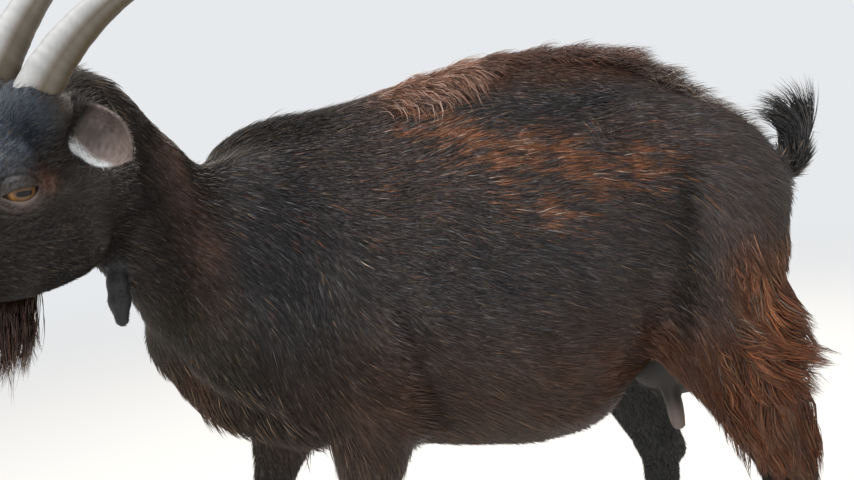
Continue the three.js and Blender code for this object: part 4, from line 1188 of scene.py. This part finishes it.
def crest_tint(roots, dark, bright, rng):
    """Copper strands with pale tips on the front of the back, then dark red, then blond on the rump; the
    copper is partly painted sunlight and the pale pink tips are painted sunlight.
    """
    x = roots[:, 0]
    number, strength = rng.random(len(x)), rng.uniform(0.3, 1, len(x))
    locks = 0.5 + 0.5 * waves(roots, 18, 57)
    copper = between(x, -70, -30) * between(x, 90, 40) * (number < 0.35 + 0.6 * locks)
    sunlit_pink = copper * (rng.random(len(x)) < 0.45)
    brown = between(x, 30, 80) * between(x, 230, 190) * (number < 0.25 + 0.5 * locks)
    blond = between(x, 180, 230) * (number < 0.1 + 0.25 * locks)
    deep = 0.75 - 0.3 * between(x, 50, 90)
    dark, bright = dark * deep[:, None], bright * deep[:, None]
    dark = mix(dark, vec(0.12, 0.042, 0.019), copper * strength)
    bright = mix(bright, vec(0.46, 0.20, 0.11), copper * strength)
    bright = mix(bright, vec(0.86, 0.60, 0.48), sunlit_pink * strength)
    bright = mix(bright, vec(0.26, 0.10, 0.06), brown * strength)
    blond = blond * strength
    return mix(dark, vec(0.06, 0.036, 0.02), blond), mix(bright, vec(0.28, 0.18, 0.11), blond)


def breech_density(side):
    x, y, z = skin_points.T
    low = 205 if side == LEFT else 352
    behind = between(skin_normals[:, 0], 0.0, 0.45) * between(z, low, low + 30) * between(z, 455, 425)
    behind = behind * (x > 215) * (side * y > 16) * ((side * y > 44) | (z > 400) | (x > 312))
    flank = 0.5 * between(z, 225, 260) * between(z, 385, 335) * between(x, 244, 272)
    flank = flank * (side * y > 62) * (side == LEFT)
    return (0.22 if side == LEFT else 0.15) * np.maximum(behind, flank)


def breech_ways(roots, normals, rng):
    """Lies close above, flares out backwards half way down the thigh and hangs below."""
    x, y, z = roots.T
    flare = between(z, 318, 346) * between(z, 412, 384) * np.clip(0.75 + 0.5 * waves(roots, 40, 65), 0, 1.4)
    flare = flare * np.where(y < 0, 1.0, 0.3) + rng.normal(0, 0.05, len(x))
    aside = 0.10 * np.sign(y)
    first = unit(np.stack([0.12 + 0.45 * flare, aside, -1 + 0 * x], 1))
    last = unit(np.stack([0.14 + 0.85 * flare, aside, -0.85 + 0.25 * flare], 1))
    return first, last


def breech_length(roots):
    x, y, z = roots.T
    rear = between(x, 258, 296)
    length = 30 + rear * (48 * between(z, 425, 370) - 30 * between(z, 300, 225))
    return length * np.where(y < 0, 1.0, 0.7) * (1 + 0.15 * waves(roots, 24, 66))


def breech_tint(roots, dark, bright, rng):
    """Bright strands of brown among dark ones."""
    locks = waves(roots, 14, 67)
    shade = np.exp(0.48 * locks + rng.normal(0, 0.32, len(roots)))[:, None]
    pale = picked(rng, 0.10 + 0.10 * between(roots[:, 0], 290, 320), 0.3)
    shade = shade * vec(1.08, 0.95, 0.80)
    return dark * shade, mix(bright * shade, vec(0.27, 0.165, 0.095), pale)


def tail_density():
    """A brush that begins half way up the dock; the hair below it is short."""
    x, _, z = skin_points.T
    return 0.6 * between(x, 330, 340) * between(z, 490, 506)


def tail_ways(roots, normals, rng):
    """The front hairs curl forwards, the top ones stand, the rear ones stream up and back."""
    behind = between(normals[:, 0] + 0.15 * rng.normal(0, 1, len(roots)), -0.7, 0.8)[:, None]
    first = vec(0.12, 0, 1) + behind * vec(0.35, 0, 0) + normals * vec(0.05, 0.35, 0)
    last = vec(-1.25, 0, 0.3) + behind * vec(1.2, 0, 0.45)
    last = mix(last, vec(-0.1, 0, 1), between(roots[:, 2], 512, 498))  # the lower ones stay along the dock
    last = last + normals * vec(0, 0.35, 0)
    return unit(first + rng.normal(0, 0.08, roots.shape)), unit(last + rng.normal(0, 0.12, roots.shape))


def tail_length(roots):
    x, _, z = roots.T
    return 26 + 38 * between(z, 496, 514) - 20 * between(x - 0.35 * (z - 500), 362, 374)


def tail_tint(roots, dark, bright, rng):
    """Black, with grey-white strands low in the middle of the brush."""
    pale = picked(rng, 0.5 * between(roots[:, 2], 522, 506), 0.4)
    return mix(dark, vec(0.26, 0.25, 0.25), pale), mix(bright, vec(0.03, 0.03, 0.032), 0.4 * pale)


def beard_density():
    u, w, _ = to_head(skin_points).T
    under = between((skin_normals @ HEAD_AXES.T)[:, 2], -0.25, -0.6)
    return 0.42 * under * between(u, 70, 86) * between(u, 244, 234) * between(np.abs(w), 14, 8)


def beard_ways(roots, normals, rng):
    """Hangs straight down, drawn in towards its middle."""
    q = to_head(roots)
    forward, across, _ = HEAD_AXES
    first = unit(vec(0, 0, -1) + 0.35 * normals + rng.normal(0, 0.10, roots.shape))
    to_middle = -0.014 * q[:, 1:2] * across - 0.16 * ((q[:, 0:1] - 165) / 80) * forward
    sway = 0.30 * waves(roots, 20, 87)[:, None] * forward + 0.2 * waves(roots, 14, 88)[:, None] * across
    return first, unit(vec(0.05, 0, -1) + to_middle + sway + rng.normal(0, 0.09, roots.shape))


def beard_length(roots):
    """Uneven locks, longest below the chin."""
    ahead = between(to_head(roots)[:, 0], 70, 150)
    return (68 + 20 * ahead) * (1 + 0.26 * waves(roots, 13, 85))


def beard_tint(roots, dark, bright, rng):
    """Dark rust, with a paler lock at its back edge."""
    shade = np.exp(0.35 * waves(roots, 9, 86) + rng.normal(0, 0.2, len(roots)))[:, None]
    dark, bright = vec(0.040, 0.019, 0.012) * shade, vec(0.120, 0.055, 0.035) * shade
    pale = np.maximum(between(to_head(roots)[:, 0], 96, 80) * 0.6, 0.10) > rng.random(len(roots))
    return mix(dark, vec(0.10, 0.07, 0.058), pale), mix(bright, vec(0.22, 0.16, 0.14), pale)


def fringe_density():
    """Belly, brisket, forearms, nape and the falling tuft in the hollow of the flank."""
    x, _, z = skin_points.T
    u, facing = to_head(skin_points)[:, 0], skin_normals[:, 2]
    belly = 0.055 * between(facing, -0.6, -0.85) * between(x, -70, -30) * between(x, 225, 180) * (z > 240)
    brisket = 0.09 * between(x, -120, -170) * between(z, 400, 340) * between(facing, -0.2, -0.6) * (z > 250)
    side = folded(skin_points)
    tufts = 0.10 * bump(side, (-98, 82, 276), (16, 20, 26)) + 0.20 * bump(side, (166, 98, 566), (22, 30, 9))
    nape = 0.07 * between(facing, 0.3, 0.7) * between(u, -6, -26) * between(x, -208, -222) * (z > 500)
    return belly + brisket + tufts + nape


def fringe_ways(roots, normals, rng):
    lie = lay_down(in_chunks(lie_of, roots), normals)
    x, _, z = roots.T
    falling = (between(x, -70, -80) * between(x, -130, -120) + between(x, 140, 150) * (z > 520)) * (z < 575)
    brisket = between(x, -120, -170)[:, None]
    first = mix(lie, unit(vec(0.3, 0, -1)), falling) + normals * (0.28 + 0.5 * brisket)
    last = mix(lie, unit(vec(0.15, 0, -1)), falling) + vec(0, 0, -0.22)
    return tuple(unit(way + rng.normal(0, 0.05, roots.shape)) for way in (first, last))


def fringe_length(roots):
    x, _, z = roots.T
    return 24 + 8 * between(x, 130, 145) * (z > 500) + 12 * (z < 320) * between(x, -70, -90)


long_coat("coat_crest", crest_density(), crest_ways, crest_length, 1.0, 51, wave=0.28, lock=9, hold=0.5,
          low=2.5, retint=crest_tint)
for side_, name_, seed_, more_ in (
    (LEFT, "coat_breeches_left", 61, dict(steps=5, wave=0.42, lock=15, hold=0.75, light=0.02)),
    (RIGHT, "coat_breeches_right", 62, dict(wave=0.36, lock=13, hold=0.7, light=0.06)),
):
    long_coat(name_, breech_density(side_), breech_ways, breech_length, 1.5, seed_, "coat_rusty",
              retint=breech_tint, **more_)
long_coat("coat_tail", tail_density(), tail_ways, tail_length, 1.3, 71, wave=0.10, lock=9, hold=0.4,
          light=0.02, retint=tail_tint)
long_coat("coat_beard", beard_density(), beard_ways, beard_length, 1.3, 81, "coat_rusty", steps=5, wave=0.26,
          lock=9, hold=0.75, light=0.10, light_tint=RUST * 1.5, retint=beard_tint)
long_coat("coat_fringe", fringe_density(), fringe_ways, fringe_length, 1.6, 91, steps=3, wave=0.14, lock=10,
          light=0.08)


# ---- horns
HORN = dict(length=250, start=50, turn=66, splay=4, splay_turn=14, depth=21.5, width=16.5, buried=9)
HORN_CREAM, HORN_GREY, HORN_BROWN = vec(0.34, 0.34, 0.335), vec(0.19, 0.18, 0.155), vec(0.095, 0.067, 0.035)


def horn(side, name, rings=110, around=40):
    """A scimitar that sweeps back: oval, keeled in front, ringed by its growth."""
    angle = turns(around)
    point = HORN_ROOT * vec(1, side, 1)
    rows, colours = [], []
    for i in range(rings + 1):
        t = i / rings
        back = math.radians(HORN["start"] + HORN["turn"] * t**1.05)
        out = math.radians(HORN["splay"] + HORN["splay_turn"] * t)
        along = vec(-math.sin(back) * math.cos(out), side * math.sin(out), math.cos(back) * math.cos(out))
        keel = unit(np.cross(vec(0, 1, 0), along))  # towards the front
        outward = unit(np.cross(keel, along))
        if i == 0:
            point = point - along * HORN["buried"]
        share = math.hypot(1 - t**1.25, 0.035 * (1 - t)) if t < 1 else 0.004
        growth = math.sin(t * 165 + 2 * math.sin(t * 31))
        grown = 1 + (1 - t) * (0.009 * growth + 0.014 * math.sin(t * 61))
        c = np.cos(angle) * (1.02 + 0.10 * np.cos(angle))
        s = np.sin(angle) * (1 - 0.10 * np.maximum(np.cos(angle), 0))
        rows.append(point + np.outer(c * HORN["depth"] * share * grown, keel)
                    + np.outer(s * HORN["width"] * share * grown, outward))
        streak = 0.5 + 0.5 * np.sin(angle * 9 + 2.2 * np.sin(angle * 2 + t * 3))
        front = between(np.cos(angle), -0.1, 0.7)
        tint = mix(np.tile(HORN_GREY, (around, 1)), HORN_CREAM, 0.8 * front + 0.2 * streak)
        rear = between(np.cos(angle), 0.86, 0.4) * (0.65 + 0.35 * streak)
        tint = mix(tint, HORN_BROWN, rear + 0.2 * max(1 - t / 0.1, 0))
        colours.append(tint * (1 + 0.04 * growth))
        point = point + along * (HORN["length"] / rings)
    points = from_head(np.concatenate(rows))
    piece = closed_rings(name, points, around)
    mottle = 1 + 0.07 * waves(points, 14, 7) + 0.04 * waves(points, 3, 8)
    paint(piece, capped(np.concatenate(colours) * mottle[:, None]), HORN_LOOK)
    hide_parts(name)


def turns(around, start=0):
    """Angles once round."""
    return (np.arange(around) + start) * 2 * math.pi / around


def capped(colours):
    """The colours of rings of points, with those of the two end fans' middles."""
    return np.concatenate([colours, colours[:1], colours[-1:]])


def closed_rings(name, points, around):
    """A closed piece through rings of around points; the ends are fans about their middles."""
    rows = len(points) // around
    ends = np.stack([points[:around].mean(0), points[-around:].mean(0)])
    r, k = np.meshgrid(np.arange(rows - 1), np.arange(around), indexing="ij")
    a, b = r * around + k, r * around + (k + 1) % around
    sides = np.concatenate([np.stack([a, b, b + around], -1), np.stack([a, b + around, a + around], -1)], 1)
    k = np.arange(around)
    first, last = rows * around, rows * around + 1
    end = (rows - 1) * around
    caps = [np.stack([np.full(around, first), (k + 1) % around, k], 1),
            np.stack([np.full(around, last), end + k, end + (k + 1) % around], 1)]
    faces = np.concatenate([sides.reshape(-1, 3), *caps])
    every = np.concatenate([points, ends])
    corner = [every[faces[:, n]] for n in range(3)]
    if np.einsum("ij,ij->", corner[0], np.cross(corner[1], corner[2])) < 0:
        faces = faces[:, ::-1]
    return make_mesh(name, every, faces)


HORN_LOOK = material("horn", 0.48, 1.1, 0.35)
for side_, name_ in ((RIGHT, "horn_left"), (LEFT, "horn_right")):  # +w is the goat's left in the head's axes
    horn(side_, name_)


# ---- eyes
AMBER, IRIS_DARK = vec(0.36, 0.17, 0.04), vec(0.075, 0.042, 0.025)
PUPIL, WHITE_OF_EYE = vec(0.0025, 0.0025, 0.003), vec(0.08, 0.05, 0.04)
IRIS_RADIUS, PUPIL_LENGTH, PUPIL_HEIGHT = 11.4, 6.4, 2.3  # the pupil's from its middle


def eye(side, name, rings=96, around=96):
    """An eyeball with a raised cornea, an amber iris and a level slit of a pupil."""
    lo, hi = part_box(name)
    centre = ((np.array(lo) + np.array(hi)) / 2 - ORIGIN) / MM
    axis = unit((EYE_AXIS * vec(1, side, 1)) @ HEAD_AXES)
    level = unit(np.cross(vec(0, 0, 1), axis))
    upright = np.cross(axis, level)
    theta = math.pi * (np.linspace(0, 1, rings) ** 1.5)[:, None]
    phi = turns(around)[None]
    radius = EYE_RADIUS + 1.0 * np.exp(-((theta / 0.62) ** 4))
    x = radius * np.sin(theta) * np.cos(phi)
    y = radius * np.sin(theta) * np.sin(phi)
    z = radius * np.cos(theta) + 0 * phi
    points = centre + x[..., None] * level + y[..., None] * upright + z[..., None] * axis
    piece = closed_rings(name, points.reshape(-1, 3).astype(np.float32), around)
    away = np.hypot(x, y)
    angle = np.arctan2(y, x)
    fibres = 0.5 + 0.25 * np.sin(angle * 37 + 2 * np.sin(angle * 5)) + 0.25 * np.sin(angle * 61 + away)
    shade = 0.35 * fibres + 0.6 * between(away, 9.6, 7.4)
    slit = (np.abs(x) / PUPIL_LENGTH) ** 3.2 + (np.abs(y) / PUPIL_HEIGHT) ** 3.2
    ring = np.exp(-(((slit - 1.35) / 0.5) ** 2))
    layers = [
        (IRIS_DARK, shade),
        (IRIS_DARK, 0.75 * np.exp(-(((away - IRIS_RADIUS) / 1.1) ** 2))),
        (IRIS_DARK, 0.7 * between(y, -2.5, 3.5)),  # shaded by the upper lid
        (WHITE_OF_EYE, between(away, 11.2, 12.2)),
        (WHITE_OF_EYE, z < 0),
        (IRIS_DARK, 0.6 * ring * (z > 0)),
        (PUPIL, between(slit, 1.25, 0.85) * (z > 0)),
    ]
    tint = layered(np.tile(AMBER, (x.size, 1)), [(colour, share.ravel()) for colour, share in layers])
    paint(piece, capped(tint), EYE_LOOK)
    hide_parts(name)


EYE_LOOK = material("eye", 0.3, Specular_IOR_Level=0.15, Coat_Weight=0.6, Coat_Roughness=0.05, Coat_IOR=1.33)
eye(RIGHT, "eye_left")
eye(LEFT, "eye_right")

# ---- claws and dewclaws
CLAW = dict(length=50, width=19.5, height=33, split=2.4, toe_out=0.032)
claw_share = curve([0, 4, 12, 22, 33], [0.98, 1.0, 0.98, 0.9, 0.76])
claw_back = curve([0, 8, 22, 33], [-4, -2, 3, 7])


def claw(leg, side, inner, name, rows=26, around=44):
    """Half a hoof: flat sole, pointed toe, wall that slopes back to the hair."""
    half = CLAW["width"] / 2
    turned = side * (-1 if inner else 1)
    x0, y0 = leg["hoof"][0], side * leg["hoof"][1] + turned * (half + CLAW["split"] / 2)
    angle = turns(around, 0.5)
    rings = []
    for z in np.linspace(0, CLAW["height"] + 2, rows):
        share, back = float(claw_share(z)), float(claw_back(z))
        lines = 0.12 * math.sin(z * 2.1) + 0.10 * math.sin(z * 0.9)
        c = np.cos(angle)
        toe = np.where(c < 0, 1 - 0.3 * c * c, 1)
        px = c * share * (CLAW["length"] / 2) + back + lines * c
        py = np.sin(angle) * (share * half * toe + lines * 0.5)
        py = np.where(py * turned < 0, py * 0.94, py)  # flatter within the split
        py = py - turned * CLAW["toe_out"] * px
        rings.append(np.stack([x0 + px, y0 + py, np.full_like(px, z)], 1))
    points = np.concatenate(rings).astype(np.float32)
    piece = closed_rings(name, points, around)
    tint = vec(0.030, 0.025, 0.022) * (1 + 0.35 * waves(points * vec(0.3, 0.3, 2.2), 9, 13))[:, None]
    tint = mix(tint, vec(0.10, 0.085, 0.07), 0.35 * between(points[:, 2], 10, 0))
    paint(piece, capped(tint), HOOF_LOOK)
    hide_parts(name)


DEWCLAW = dict(length=13, radius=5.6, buried=3, back=15, apart=9, down=6)  # the last three from the fetlock


def dewclaws(rows=9, around=16):
    """The eight small horny nubs behind the pasterns."""
    tilt, across = unit(vec(0.62, 0, -0.78)), vec(0, 1, 0)
    angle = turns(around)[:, None]
    rim = np.cos(angle) * across * 0.9 + np.sin(angle) * np.cross(across, tilt)
    fetlocks = [(side, leg["fetlock"], turn) for legs in (FORE, HIND) for side, leg in legs.items()
                for turn in (-1, 1)]
    for n, (side, (x, y, z), turn) in enumerate(fetlocks):
        root = vec(x + DEWCLAW["back"], side * y + turn * DEWCLAW["apart"], z - DEWCLAW["down"])
        rings = []
        for t in np.arange(rows) / (rows - 1):
            radius = DEWCLAW["radius"] * math.sqrt(max(1 - t**2.2, 0.003))
            rings.append(root + tilt * (DEWCLAW["length"] * t - DEWCLAW["buried"]) + radius * rim)
        piece = closed_rings(f"dewclaw_{n + 1}", np.concatenate(rings).astype(np.float32), around)
        paint(piece, np.tile(vec(0.032, 0.027, 0.024), (len(piece.data.vertices), 1)), HOOF_LOOK)


HOOF_LOOK = material("hoof", 0.5, 0.9, 0.3)
for side_, name_ in ((LEFT, "left"), (RIGHT, "right")):
    for place_ in ("inner", "outer"):
        claw(FORE[side_], side_, place_ == "inner", f"fore_claw_{place_}_{name_}")
        claw(HIND[side_], side_, place_ == "inner", f"hind_claw_{place_}_{name_}")
dewclaws()

# ---- stage, lights and camera
world = bpy.data.worlds.new("world")
bpy.context.scene.world = world
world.use_nodes = True
nodes_ = world.node_tree.nodes
BACKDROP = (0.80, 0.82, 0.84)
ambient = put(nodes_["Background"], Color=(0.92, 0.91, 0.91, 1), Strength=0.75)
seen = put(nodes_.new("ShaderNodeBackground"), Color=(*BACKDROP, 1))
path_ = nodes_.new("ShaderNodeLightPath")
chosen_ = nodes_.new("ShaderNodeMixShader")
link(world.node_tree, (path_, "Is Camera Ray", chosen_, "Fac"), (ambient, "Background", chosen_, 1),
     (seen, "Background", chosen_, 2), (chosen_, "Shader", nodes_["World Output"], "Surface"))


FLOOR_RADIUS, FADE_START, FADE_END = 40, 0.9, 3.2  # metres


def make_floor():
    """A wide pale floor that fades into the backdrop away from the goat."""
    bpy.ops.mesh.primitive_circle_add(vertices=96, radius=FLOOR_RADIUS, fill_type="NGON", location=(0, 0, 0))
    floor = bpy.context.object
    floor.name = "floor"
    look = bpy.data.materials.new("floor")
    look.use_nodes = True
    nodes = look.node_tree.nodes
    shader = put(nodes["Principled BSDF"], Base_Color=(0.62, 0.62, 0.61, 1), Roughness=0.9)
    far = put(nodes.new("ShaderNodeEmission"), Color=(*BACKDROP, 1))
    place = nodes.new("ShaderNodeTexCoord")
    length = nodes.new("ShaderNodeVectorMath")
    length.operation = "LENGTH"
    fade = nodes.new("ShaderNodeMapRange")
    fade.interpolation_type = "SMOOTHSTEP"
    put(fade, From_Min=FADE_START, From_Max=FADE_END)
    both = nodes.new("ShaderNodeMixShader")
    link(look.node_tree, (place, "Object", length, 0), (length, "Value", fade, "Value"),
         (fade, "Result", both, "Fac"), (shader, "BSDF", both, 1), (far, "Emission", both, 2),
         (both, "Shader", nodes["Material Output"], "Surface"))
    floor.data.materials.append(look)


make_floor()


def softbox(name, place, size, energy, colour=(1, 1, 1)):
    light = bpy.data.lights.new(name, "AREA")
    light.energy, light.size, light.color = energy, size, colour
    lamp = bpy.data.objects.new(name, light)
    lamp.location = place
    lamp.rotation_euler = (Vector((0, 0, 0.4)) - lamp.location).to_track_quat("-Z", "Y").to_euler()
    bpy.context.scene.collection.objects.link(lamp)


softbox("key", (-0.5, -0.6, 2.6), 1.8, 60)
softbox("fill", (-1.4, -2.6, 1.3), 2.0, 26, (0.92, 0.96, 1))
softbox("rim", (0.8, 1.9, 2.0), 1.4, 45, (1, 0.93, 0.84))

DISTANCE, TILT, ROLL = 1.6, math.radians(8), math.radians(6)
SEEN_WIDTH = 0.81984  # metres seen from side to side at that distance
target = placed(vec(0, 0, 454))  # in the middle of the trunk
cam = bpy.data.cameras.new("camera")
cam.sensor_width = 36
cam.lens = cam.sensor_width * DISTANCE / SEEN_WIDTH
camera = bpy.data.objects.new("camera", cam)
bpy.context.scene.collection.objects.link(camera)
ct, st, cr, sr = math.cos(TILT), math.sin(TILT), math.cos(ROLL), math.sin(ROLL)
back, right0, up0 = Vector((0, -ct, st)), Vector((1, 0, 0)), Vector((0, st, ct))
right, up = right0 * cr - up0 * sr, right0 * sr + up0 * cr
rotation = Matrix((right, up, back)).transposed()
camera.matrix_world = Matrix.Translation(Vector(target) + back * DISTANCE) @ rotation.to_4x4()
bpy.context.scene.camera = camera
bpy.context.scene.view_settings.view_transform = "Standard"
